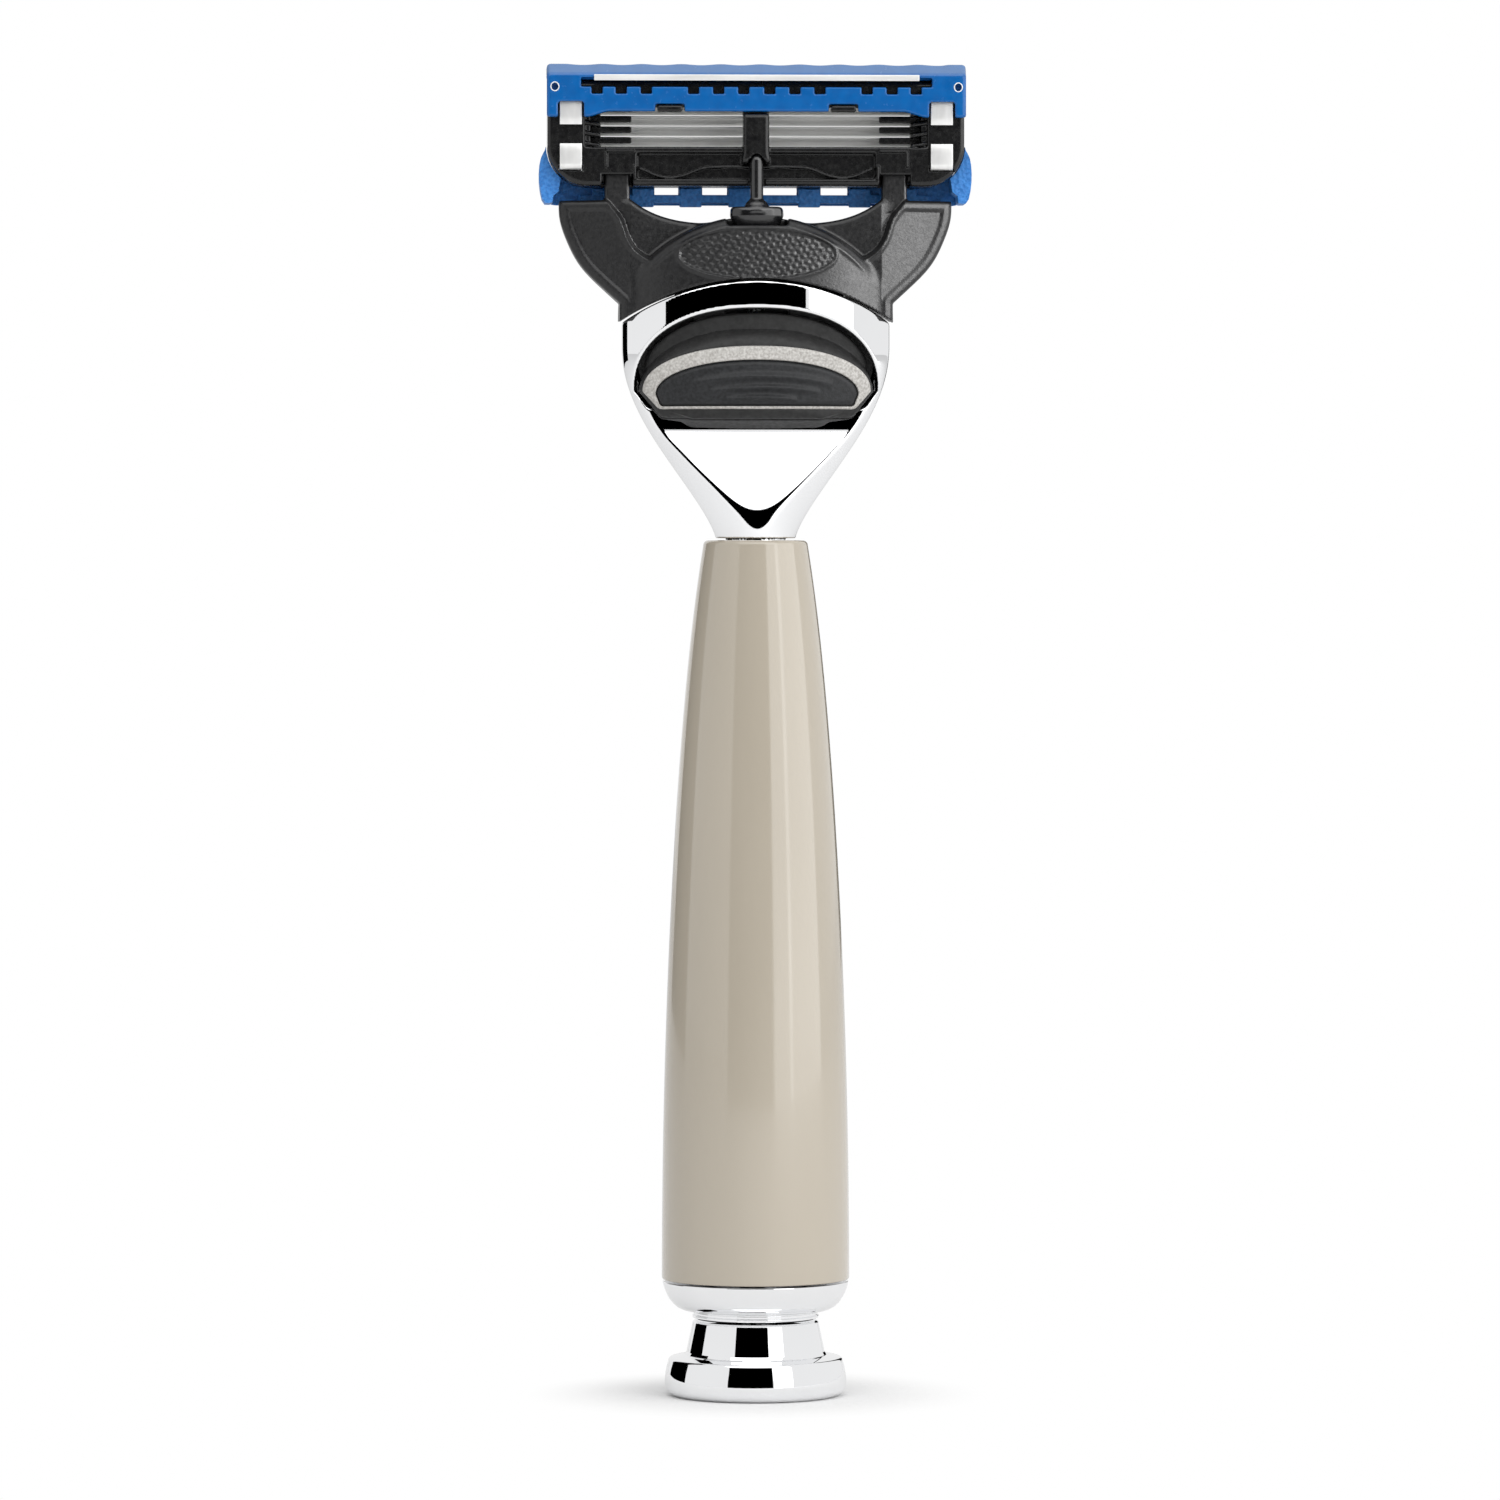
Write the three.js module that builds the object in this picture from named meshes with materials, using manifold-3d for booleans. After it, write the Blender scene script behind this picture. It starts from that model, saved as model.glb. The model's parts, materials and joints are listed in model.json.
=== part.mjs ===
// A cartridge razor that stands on its foot: a turned resin handle between plated ends, a plated neck with
// a sliding eject button, and a pivoting cartridge that pulls off the neck.
// Millimetres, +Z up along the handle, origin at the middle of the foot's underside. The button faces -Y and
// the blades face +Y.
import * as THREE from "three";
import { mergeVertices } from "three/addons/utils/BufferGeometryUtils.js";
import Module from "manifold-3d";

// Handle
const ROUND = 40; // sides of a turned part
const FOOT_TOP = 7.55;
const COLLAR_BASE = 7.7;
const COLLAR_RIM = 11.5;
const SLEEVE_BASE = 11.7;
const SLEEVE_TOP = 85.7;
const SLEEVE_FILLET = 0.5;
const ROD_RADIUS = 2;
const ROD_BORE = 2.3;
const ROD_BASE = 4;
const ROD_TOP = 84.2;
const SPIGOT_RADIUS = 5; // collar spigot, in the sleeve's lower counterbore
const SPIGOT_TOP = 14.5;
const NECK_BOSS = 3; // neck boss, in the sleeve's upper counterbore
const NECK_BOSS_BASE = 79.8;
const SLIDING_GAP = 0.3;

// Neck: an ellipse in plan that widens from the handle's top to the head
const NECK_BASE = 85.9;
const NECK_FULL = 105; // height at which it has its full section
const NECK_START = 4; // radius at the base
const NECK_HALF_WIDTH = 13.4;
const NECK_HALF_DEPTH = 5.2;
const NECK_FLARE = 1.32;
const NECK_WALL = 1.1;
const NECK_FLOOR = 98.5; // bottom of the hollow that holds the eject mechanism
const RIM_ARCH = { centre: 87.55, radius: 23.95 }; // the neck's arched upper edge
const WINDOW = { halfWidth: 12.1, base: 100.6, height: 8.1, sill: 99, power: 2.3 };

// Cartridge connection
const DOME_ARCH = { centre: 102.25, radius: 15.75 };
const HUB_HALF_WIDTH = 13.65;
const HUB_HALF_DEPTH = 5.45;
const HUB_WALL = 0.9;
const SOCKET = { halfWidth: 8.9, back: -4.35, front: 3.4 };
const ARM = { back: -2.7, front: 2.1, top: 119.6, taperFrom: 12.5, taper: 0.36 };
const TAB = { inner: 12.6, outer: 15.1, radius: 1.25 };
const PIVOT = { y: 0, z: 122 };
const STUB = { radius: 0.7, end: 16.1 };
const PIVOT_RANGE = THREE.MathUtils.degToRad(40);

// Plunger: it drops by this much for each radian that the cartridge turns
const PLUNGER_DROP = 2.5;
const PLUNGER_Y = -2.7;
const PIN = { radius: 0.65, top: 124.1 };
const FLANGE = { halfWidth: 2.75, halfDepth: 1.4, base: 117.1, top: 118.9 };
const STEM = { radius: 0.75, base: 112.6 };
const GUIDE = { halfWidth: 1.7, base: 110.7, top: 113.8, bore: 0.85, back: -3.98 };

// Cartridge
const FRAME = { halfWidth: 20.8, base: 121, top: 131.4, back: -2, front: 3.2, corner: 4 };
const BAY = { halfWidth: 16.5, base: 124.9, top: 128.8 };
const BLADE_COUNT = 5;
const BLADE_PITCH = 1.05;
const BLADE = { edgeY: 3.15, firstZ: 124.1, width: 1, thickness: 0.1, halfLength: 18.4 };
const BLADE_TILT = THREE.MathUtils.degToRad(22);
const CLIP = { inner: 17.4, outer: 19.6, low: 122.6, high: 129.75, thickness: 0.25, back: -2.6, front: 3.6 };
const CARRIER = { halfWidth: 20.9, back: -3.1, base: 128.2, top: 133.1, inner: -2.15 };
const TRIMMER_SLOT = { halfWidth: 17.5, base: 130.8, top: 131.7 };
const NOTCH = { width: 1.1, base: 130.1 };
const NOTCH_CENTRES = [-15.9, -13.5, -11, -6.3, -3.8, -1.3, 1.3, 3.8, 6.3, 11, 13.5, 15.9];
const GUARD_TABS = [-15.2, -11.2, -6.4, -1.5, 5.5, 10.6, 15.2];
const GUARD_DRAINS = { height: [120.35, 121.1], spans: [[-10, -7.6], [-5.2, -2.7], [-0.3, 4.3], [6.7, 9.4]] };

const wasm = await Module();
wasm.setup();

// ---------------------------------------------------------------------------------------------- solids

// A closed geometry as a solid that can be joined and cut.
function solid(geometry) {
  geometry.deleteAttribute("normal");
  geometry.deleteAttribute("uv");
  const merged = mergeVertices(geometry, 1e-4);
  const triVerts = new Uint32Array(merged.index.array);
  return new wasm.Manifold(
    new wasm.Mesh({ numProp: 3, vertProperties: merged.attributes.position.array, triVerts }),
  );
}

function geometryOf(made) {
  const mesh = made.getMesh();
  return new THREE.BufferGeometry()
    .setAttribute("position", new THREE.BufferAttribute(mesh.vertProperties, 3))
    .setIndex(new THREE.BufferAttribute(mesh.triVerts, 1));
}

const joined = (solids) => solids.reduce((sum, next) => sum.add(next));

function box([x0, x1], [y0, y1], [z0, z1]) {
  const geometry = new THREE.BoxGeometry(x1 - x0, y1 - y0, z1 - z0);
  return solid(geometry.translate((x0 + x1) / 2, (y0 + y1) / 2, (z0 + z1) / 2));
}

// The same box on both sides of the middle plane.
const boxPair = ([x0, x1], ys, zs) => box([x0, x1], ys, zs).add(box([-x1, -x0], ys, zs));

function post(radius, [z0, z1], x, y, sides = 24) {
  const geometry = new THREE.CylinderGeometry(radius, radius, z1 - z0, sides);
  return solid(geometry.rotateX(Math.PI / 2).translate(x, y, (z0 + z1) / 2));
}

function crossRod(radius, [x0, x1], y, z, sides = 24) {
  const geometry = new THREE.CylinderGeometry(radius, radius, x1 - x0, sides);
  return solid(geometry.rotateZ(Math.PI / 2).translate((x0 + x1) / 2, y, z));
}

// A profile of [radius, height] points turned about the handle's axis, listed anticlockwise.
function turned(profile, sides = ROUND) {
  const points = profile.map(([radius, height]) => new THREE.Vector2(radius, height));
  points.push(points[0].clone());
  return solid(new THREE.LatheGeometry(points, sides).rotateX(Math.PI / 2));
}

// An outline in X and Z, extruded from y0 to y1.
function plate(shape, [y0, y1], { bevel = 0, curveSegments = 12 } = {}) {
  const geometry = new THREE.ExtrudeGeometry(shape, {
    depth: y1 - y0 - 2 * bevel,
    bevelEnabled: bevel > 0,
    bevelSize: bevel,
    bevelOffset: -bevel,
    bevelThickness: bevel,
    bevelSegments: 2,
    curveSegments,
  });
  return solid(geometry.rotateX(Math.PI / 2).translate(0, y1 - bevel, 0));
}

// An outline in Y and Z, extruded from x0 to x1.
function bar(shape, [x0, x1], curveSegments = 12) {
  const geometry = new THREE.ExtrudeGeometry(shape, { depth: x1 - x0, bevelEnabled: false, curveSegments });
  const turn = new THREE.Matrix4().makeBasis(
    new THREE.Vector3(0, 1, 0),
    new THREE.Vector3(0, 0, 1),
    new THREE.Vector3(1, 0, 0),
  );
  return solid(geometry.applyMatrix4(turn).translate(x0, 0, 0));
}

// An elliptical column whose half width and half depth follow the height.
function column([z0, z1], rows, halfWidthAt, halfDepthAt, sides = ROUND) {
  const geometry = new THREE.CylinderGeometry(1, 1, z1 - z0, sides, rows).rotateX(Math.PI / 2);
  geometry.translate(0, 0, (z0 + z1) / 2);
  const position = geometry.attributes.position;
  for (let i = 0; i < position.count; i++) {
    const z = position.getZ(i);
    position.setX(i, position.getX(i) * halfWidthAt(z));
    position.setY(i, position.getY(i) * halfDepthAt(z));
  }
  return solid(geometry);
}

// A piece turned about the pivot as the cartridge turns, away from its rest by an angle.
function aboutPivot(piece, angle) {
  return piece
    .translate([0, -PIVOT.y, -PIVOT.z])
    .rotate([THREE.MathUtils.radToDeg(angle), 0, 0])
    .translate([0, PIVOT.y, PIVOT.z]);
}

// What a fixed piece sweeps out, as the turning cartridge sees it.
function sweptPastCartridge(piece, drop) {
  const steps = 5;
  const poses = Array.from({ length: steps + 1 }, (_, i) => (PIVOT_RANGE * i) / steps);
  return joined(poses.map((angle) => aboutPivot(piece.translate([0, 0, -drop * angle]), -angle)));
}

// ---------------------------------------------------------------------------------------------- outlines

const outline = (points) => new THREE.Shape(points.map(([u, v]) => new THREE.Vector2(u, v)));

function arcPoints(centre, radius, from, to, steps) {
  return Array.from({ length: steps + 1 }, (_, i) => {
    const angle = THREE.MathUtils.degToRad(from + ((to - from) * i) / steps);
    return [centre[0] + radius * Math.cos(angle), centre[1] + radius * Math.sin(angle)];
  });
}

function splinePoints(points, steps) {
  const curve = new THREE.SplineCurve(points.map(([u, v]) => new THREE.Vector2(u, v)));
  return curve.getPoints(steps).map((p) => [p.x, p.y]);
}

const mirrored = (points) => points.map(([x, z]) => [-x, z]).reverse();

// Everything below an arch, down to a floor, within a half width.
function underArch({ centre, radius }, halfWidth, floor) {
  const side = THREE.MathUtils.radToDeg(Math.acos(halfWidth / radius));
  const top = arcPoints([0, centre], radius, side, 180 - side, 20);
  return outline([[-halfWidth, floor], [halfWidth, floor], ...top]);
}

// A flat-bottomed superellipse: the button window and the pieces that fill it.
function windowOutline({ halfWidth, base, height, sill, power }) {
  const steps = 24;
  const top = Array.from({ length: steps + 1 }, (_, i) => {
    const angle = (Math.PI * i) / steps;
    const across = Math.sign(Math.cos(angle)) * Math.abs(Math.cos(angle)) ** (2 / power);
    return [halfWidth * across, base + height * Math.sin(angle) ** (2 / power)];
  });
  const corner = halfWidth - (base - sill) * 0.8;
  return outline([[-corner, sill], [corner, sill], ...top]);
}

// ---------------------------------------------------------------------------------------------- handle

function foot() {
  return turned([
    [0, 0],
    [7.7, 0],
    ...arcPoints([7.9, 1.2], 1.2, -60, 0, 4),
    [9.05, 2],
    [8.92, 2.8],
    ...arcPoints([8.35, 3.4], 0.42, 10, 75, 3),
    [7.05, 4.2],
    [6.93, 4.5],
    [6.3, 7.35],
    [6.1, FOOT_TOP],
    [ROD_BORE, FOOT_TOP],
    [ROD_BORE, ROD_BASE - SLIDING_GAP],
    [0, ROD_BASE - SLIDING_GAP],
  ]);
}

function footCollar() {
  return turned([
    [ROD_BORE, COLLAR_BASE],
    [6.1, COLLAR_BASE],
    [6.35, COLLAR_BASE + 0.2],
    [6.2, COLLAR_BASE + 0.6],
    ...splinePoints([[6.65, 8.5], [7.65, 8.75], [8.6, 9.8], [9.05, 10.8], [9.25, COLLAR_RIM]], 8),
    [SPIGOT_RADIUS, COLLAR_RIM],
    [SPIGOT_RADIUS, SPIGOT_TOP],
    [ROD_BORE, SPIGOT_TOP],
  ]);
}

// The sleeve's outer radius: nearly straight at the foot, drawn in towards the neck.
function sleeveRadius(z) {
  const t = (z - SLEEVE_BASE) / (SLEEVE_TOP - SLEEVE_BASE);
  return 9.4 - 3.6 * t ** 2 - 0.65 * t ** 8;
}

function sleeve() {
  const rows = 12;
  const low = SLEEVE_BASE + SLEEVE_FILLET;
  const high = SLEEVE_TOP - SLEEVE_FILLET;
  const side = Array.from({ length: rows + 1 }, (_, i) => low + ((high - low) * i) / rows);
  return turned([
    [SPIGOT_RADIUS + SLIDING_GAP, SLEEVE_BASE],
    [sleeveRadius(low) - 0.2, SLEEVE_BASE],
    ...side.map((z) => [sleeveRadius(z), z]),
    ...arcPoints([sleeveRadius(high) - SLEEVE_FILLET, high], SLEEVE_FILLET, 30, 90, 3),
    [NECK_BOSS + SLIDING_GAP, SLEEVE_TOP],
    [NECK_BOSS + SLIDING_GAP, NECK_BOSS_BASE - SLIDING_GAP],
    [ROD_BORE, NECK_BOSS_BASE - SLIDING_GAP],
    [ROD_BORE, SPIGOT_TOP + SLIDING_GAP],
    [SPIGOT_RADIUS + SLIDING_GAP, SPIGOT_TOP + SLIDING_GAP],
  ]);
}

const tieRod = () => post(ROD_RADIUS, [ROD_BASE, ROD_TOP], 0, 0);

// ---------------------------------------------------------------------------------------------- neck

function flare(z) {
  const t = THREE.MathUtils.clamp((z - NECK_BASE) / (NECK_FULL - NECK_BASE), 0, 1);
  return Math.sin((Math.PI / 2) * t);
}

const neckHalfWidth = (z) => NECK_START + (NECK_HALF_WIDTH - NECK_START) * flare(z) ** NECK_FLARE;
const neckHalfDepth = (z) => NECK_START + (NECK_HALF_DEPTH - NECK_START) * flare(z);

// The neck's outer surface, moved in by an inset.
function neckColumn(inset, heights, rows) {
  return column(heights, rows, (z) => neckHalfWidth(z) - inset, (z) => neckHalfDepth(z) - inset);
}

// The thumb pan: a ramp that leaves the neck's surface at a point and runs in under the button.
function thumbPan() {
  const low = [[-4.15, 87.5], [-3.8, 89.4], [-3.24, 91.4], [-2.42, 95]];
  const ramp = splinePoints([...low, [-1.95, 97.4], [-1.84, 98.8], [-1.8, 101.2]], 12);
  return bar(outline([[-9, 87.5], ...ramp, [-9, 101.2]]), [-15, 15]);
}

function neckCasting() {
  const head = neckColumn(0, [NECK_BASE, 112], 14);
  const boss = post(NECK_BOSS, [NECK_BOSS_BASE, NECK_BASE + 1], 0, 0);
  const hollow = neckColumn(NECK_WALL, [NECK_FLOOR, 114], 6);
  const rodBore = post(ROD_BORE, [NECK_BOSS_BASE - 1, ROD_TOP + SLIDING_GAP], 0, 0);
  return head
    .intersect(plate(underArch(RIM_ARCH, 20, 70), [-9, 9]))
    .add(boss)
    .subtract(hollow)
    .subtract(rodBore)
    .subtract(thumbPan())
    .subtract(plate(windowOutline(WINDOW), [-9, -0.8]));
}

// The plastic insert fills the front of the hollow. Its tongue carries the cartridge, and its guide carries
// the plunger.
function neckInsert() {
  const back = -0.3;
  const body = neckColumn(NECK_WALL + SLIDING_GAP, [NECK_FLOOR + 0.5, 109.5], 6);
  const tongueArch = { centre: DOME_ARCH.centre, radius: DOME_ARCH.radius - HUB_WALL - SLIDING_GAP };
  const tongue = plate(underArch(tongueArch, SOCKET.halfWidth - 0.9, 108), [back, SOCKET.front - 0.5]);
  const guide = box([-GUIDE.halfWidth, GUIDE.halfWidth], [GUIDE.back, 0], [GUIDE.base, GUIDE.top]);
  const rim = { centre: RIM_ARCH.centre, radius: RIM_ARCH.radius - SLIDING_GAP };
  return body
    .intersect(box([-15, 15], [back, 9], [90, 120]))
    .intersect(plate(underArch(rim, 20, 80), [-9, 9]))
    .add(tongue)
    .add(guide)
    .subtract(post(GUIDE.bore, [GUIDE.base - 1, GUIDE.top + 1], 0, PLUNGER_Y));
}

// ---------------------------------------------------------------------------------------------- eject button

const SHELL_BACK = -2.4;
const RING_TOP = { halfWidth: 11.4, base: 100.5, height: 4.5, sill: 98.7, power: 2.2 };
const PAD_TOP = { halfWidth: 9.9, base: 100.2, height: 3.3, sill: 99.1, power: 2.1 };
const FIT_GAP = 0.1;

// Two flat prongs push the cartridge off when the button goes up.
function ejectorCarriage() {
  const back = -1.8;
  const front = -0.6;
  const slide = box([-6.5, 6.5], [back, front], [99.2, 107]);
  const prongs = boxPair([3.2, 6.2], [back, front], [106, 113.6]);
  return slide.add(prongs);
}

function buttonShell() {
  const inset = NECK_WALL + SLIDING_GAP;
  const face = { ...WINDOW, halfWidth: WINDOW.halfWidth - 0.35, height: WINDOW.height - 0.35, sill: 97.9 };
  const skin = neckColumn(inset, [96, 112], 6).subtract(neckColumn(inset + 1, [95, 113], 6));
  const sides = skin.intersect(plate(windowOutline({ ...face, sill: 99.3 }), [-9, -0.9]));
  const cap = skin.intersect(plate(windowOutline(face), [-9, SHELL_BACK])).add(sides);
  const lipSection = outline([[-5.5, 98.58], [-4.3, 97.8], [SHELL_BACK, 97.8], [SHELL_BACK, 98.58]]);
  const lip = bar(lipSection, [-8.5, 8.5]);
  return cap.add(lip).subtract(box([-15, 15], [-9, SHELL_BACK - 0.9], [98.58, 99.2]));
}

// A curved layer that hugs the shell, with an outline, standing proud of the neck's surface.
function buttonLayer(shape, proud) {
  const lean = bar(outline([[-4.9 - proud, 106], [-6.1 - proud, 98], [9, 98], [9, 106]]), [-15, 15]);
  return neckColumn(-proud, [96, 112], 6)
    .intersect(plate(shape, [-9, SHELL_BACK]))
    .intersect(lean)
    .subtract(neckColumn(NECK_WALL + SLIDING_GAP - FIT_GAP, [95, 113], 6));
}

function insetOutline(size, by) {
  return { ...size, halfWidth: size.halfWidth - by, height: size.height - by, sill: size.sill + by };
}

function buttonRing() {
  const opening = plate(windowOutline(insetOutline(PAD_TOP, -FIT_GAP)), [-9, 0]);
  return buttonLayer(windowOutline(RING_TOP), 0.7).subtract(opening);
}

const buttonPad = () => buttonLayer(windowOutline(PAD_TOP), 0.95);

// ---------------------------------------------------------------------------------------------- springs

class Helix extends THREE.Curve {
  constructor(radius, turns, [z0, z1], y) {
    super();
    Object.assign(this, { radius, turns, z0, z1, y });
  }
  getPoint(t, target = new THREE.Vector3()) {
    const angle = 2 * Math.PI * this.turns * t;
    const z = this.z0 + (this.z1 - this.z0) * t;
    return target.set(this.radius * Math.cos(angle), this.y + this.radius * Math.sin(angle), z);
  }
}

function coil(radius, turns, [z0, z1], y) {
  const wire = 0.16;
  const section = new THREE.Shape().absarc(0, 0, wire, 0, 2 * Math.PI);
  return solid(
    new THREE.ExtrudeGeometry(section, {
      extrudePath: new Helix(radius, turns, [z0 + wire, z1 - wire], y),
      steps: Math.round(turns * 12),
      curveSegments: 3,
      bevelEnabled: false,
    }),
  );
}

const ejectorSpring = () => coil(0.8, 4, [107.1, GUIDE.base - 0.1], -1.35);
const plungerSpring = () => coil(1.15, 3.5, [GUIDE.top + 0.1, FLANGE.base - 0.1], PLUNGER_Y);

// ---------------------------------------------------------------------------------------------- plunger

// The pin with room round it: the tip is a ball.
function pinSolid(clearance) {
  const radius = PIN.radius + clearance;
  const sides = 14;
  const ball = new THREE.SphereGeometry(radius, sides, 8).rotateX(Math.PI / 2);
  const tip = solid(ball.translate(0, PLUNGER_Y, PIN.top - PIN.radius));
  return post(radius, [FLANGE.top - 0.5, PIN.top - PIN.radius], 0, PLUNGER_Y, sides).add(tip);
}

function plunger() {
  const { halfWidth, halfDepth, base, top } = FLANGE;
  const middle = (base + top) / 2;
  const taper = (z) => 1 - 0.18 * Math.abs(z - middle - 0.2);
  const flange = column([base, top], 4, (z) => halfWidth * taper(z), (z) => halfDepth * taper(z), 28);
  const stem = post(STEM.radius, [STEM.base, base + 0.5], 0, PLUNGER_Y);
  return flange.translate([0, PLUNGER_Y, 0]).add(stem).add(pinSolid(0));
}

// ---------------------------------------------------------------------------------------------- yoke

function yokeOutline() {
  const outer = splinePoints([[13.65, 109.3], [15.4, 110.9], [17.65, 113.3], [18.9, 115.7], [19.6, 118]], 12);
  const inner = splinePoints([[12.4, ARM.top], [11.2, 118.8], [9.4, 118], [6.4, 117.4]], 8);
  const dome = arcPoints([0, DOME_ARCH.centre], DOME_ARCH.radius, 67, 90, 5);
  const half = [[HUB_HALF_WIDTH, 104], ...outer, [19.5, 119], [19, ARM.top], ...inner, ...dome];
  return outline([...half, ...mirrored(half).slice(1)]);
}

// The hub's rounded sides, moved in by an inset.
function hubColumn(inset) {
  const depthAt = (z) => HUB_HALF_DEPTH - inset - 0.3 * ((z - 107) / 11) ** 2;
  return column([104, 119], 6, () => HUB_HALF_WIDTH - inset, depthAt);
}

// The arms' backs slope away towards their outer edges.
function armTaper() {
  const inner = ARM.taperFrom;
  const outer = 21;
  const far = ARM.back + (outer - inner) * ARM.taper;
  const wedge = outline([[inner, ARM.back - 1], [outer, ARM.back - 1], [outer, far], [inner, ARM.back]]);
  const geometry = new THREE.ExtrudeGeometry(wedge, { depth: 20, bevelEnabled: false });
  const made = solid(geometry.translate(0, 0, 103));
  return made.add(made.mirror([1, 0, 0]));
}

// The tab carries the pivot stub. It is round about the pivot.
function yokeTab() {
  const { inner, outer, radius } = TAB;
  const top = arcPoints([PIVOT.y, PIVOT.z], radius, 0, 180, 10);
  const tab = bar(outline([[-radius, ARM.top - 1], [radius, ARM.top - 1], ...top]), [inner, outer]);
  return tab.add(crossRod(STUB.radius, [outer - 0.5, STUB.end], PIVOT.y, PIVOT.z));
}

function yoke() {
  const arch = { centre: RIM_ARCH.centre, radius: RIM_ARCH.radius + 0.2 };
  const roof = { centre: DOME_ARCH.centre, radius: DOME_ARCH.radius - HUB_WALL };
  const socket = plate(underArch(roof, SOCKET.halfWidth, 80), [SOCKET.back, SOCKET.front]);
  const arms = plate(yokeOutline(), [ARM.back, ARM.front], { bevel: 0.5 }).subtract(armTaper());
  const tab = yokeTab();
  const opening = FLANGE.halfWidth + SLIDING_GAP;
  return hubColumn(0)
    .intersect(plate(underArch(DOME_ARCH, HUB_HALF_WIDTH + 0.5, 90), [-9, 9]))
    .add(arms)
    .add(tab)
    .add(tab.mirror([1, 0, 0]))
    .subtract(plate(underArch(arch, 20, 80), [-9, 9]))
    .subtract(socket.intersect(hubColumn(HUB_WALL)))
    .subtract(box([-opening, opening], [SOCKET.back, -1.3], [112, 125]))
    .subtract(box([-opening, opening], [-9, -1.3], [116.95, 125]));
}

// ---------------------------------------------------------------------------------------------- cartridge

function roundedPanel(halfWidth, base, top, lowRadius, highRadius) {
  const half = [
    ...arcPoints([halfWidth - lowRadius, base + lowRadius], lowRadius, -90, 0, 6),
    ...arcPoints([halfWidth - highRadius, top - highRadius], highRadius, 0, 90, 3),
  ];
  return outline([...half, ...mirrored(half)]);
}

// Room in the frame for a yoke tab through the whole turn.
function tabRoom() {
  const radius = TAB.radius + SLIDING_GAP;
  const round = crossRod(radius, [TAB.inner - 0.3, TAB.outer + 0.3], PIVOT.y, PIVOT.z, 16);
  const slab = box([TAB.inner - 0.3, TAB.outer + 0.3], [-radius, radius], [PIVOT.z - 6, PIVOT.z]);
  const bore = crossRod(STUB.radius + 0.1, [TAB.outer, STUB.end + 0.3], PIVOT.y, PIVOT.z);
  return sweptPastCartridge(round.add(slab), 0).add(bore);
}

function cartridgeFrame() {
  const { halfWidth, base, top, back, front, corner } = FRAME;
  const through = [-9, 9];
  const bridgeXs = [-1.35, 1.25];
  const bridge = box(bridgeXs, [-3.3, -0.9], [123.2, 128.1]).add(box(bridgeXs, [-1.9, -0.9], [128, 129.2]));
  const clipXs = [CLIP.inner - 0.1, CLIP.outer + 0.1];
  const room = tabRoom();
  return plate(roundedPanel(halfWidth, base, top, corner, 1), [back, front])
    .subtract(box([-BAY.halfWidth, BAY.halfWidth], through, [BAY.base, BAY.top]))
    .subtract(box([-18.7, 18.7], [-0.5, 9], [123.5, 129.6]))
    .subtract(box([-11.9, 11.9], [-9, -1.2], [121.7, 124.3]))
    .add(bridge)
    .subtract(sweptPastCartridge(pinSolid(0.12), PLUNGER_DROP))
    .subtract(room)
    .subtract(room.mirror([1, 0, 0]))
    .subtract(boxPair(clipXs, through, [CLIP.high - 0.35, CLIP.high + 0.1]))
    .subtract(boxPair(clipXs, through, [CLIP.low - 0.1, CLIP.low + 0.35]));
}

// Blade edges point at the guard. The blade lies on the sloping tip of its bent support.
function bladePoint(index, along, forward) {
  const lift = along * Math.cos(BLADE_TILT) + forward * Math.sin(BLADE_TILT);
  const reach = forward * Math.cos(BLADE_TILT) - along * Math.sin(BLADE_TILT);
  return [BLADE.edgeY + reach, BLADE.firstZ + index * BLADE_PITCH + lift];
}

function blade(index) {
  const { width, thickness, halfLength } = BLADE;
  const points = [
    bladePoint(index, 0, 0),
    bladePoint(index, 0.3, thickness),
    bladePoint(index, width, thickness),
    bladePoint(index, width, 0),
  ];
  return bar(outline(points), [-halfLength, halfLength]);
}

function bladeSupport(index) {
  const face = -0.03;
  const sheet = 0.2;
  const rear = 1.3;
  const shelf = BLADE.firstZ + index * BLADE_PITCH + 0.8;
  const points = [
    bladePoint(index, 0.3, face),
    bladePoint(index, 0.95, face),
    [2.6, shelf + sheet / 2],
    [rear, shelf + sheet / 2],
    [rear, shelf - sheet / 2],
    bladePoint(index, 0.7, face - sheet),
    bladePoint(index, 0.3, face - sheet),
  ];
  return bar(outline(points), [-BLADE.halfLength, BLADE.halfLength]);
}

// A metal band bent round the frame's end, with its tails folded flat on the back.
function clip() {
  const { inner, outer, low, high, thickness, back, front } = CLIP;
  const xs = [inner, outer];
  return joined([
    box(xs, [front - thickness, front], [low, high]),
    box(xs, [back, front], [high - thickness, high]),
    box(xs, [back, front], [low, low + thickness]),
    box(xs, [back, back + thickness], [127.1, high]),
    box(xs, [back, back + thickness], [low, 125.2]),
  ]);
}

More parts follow.
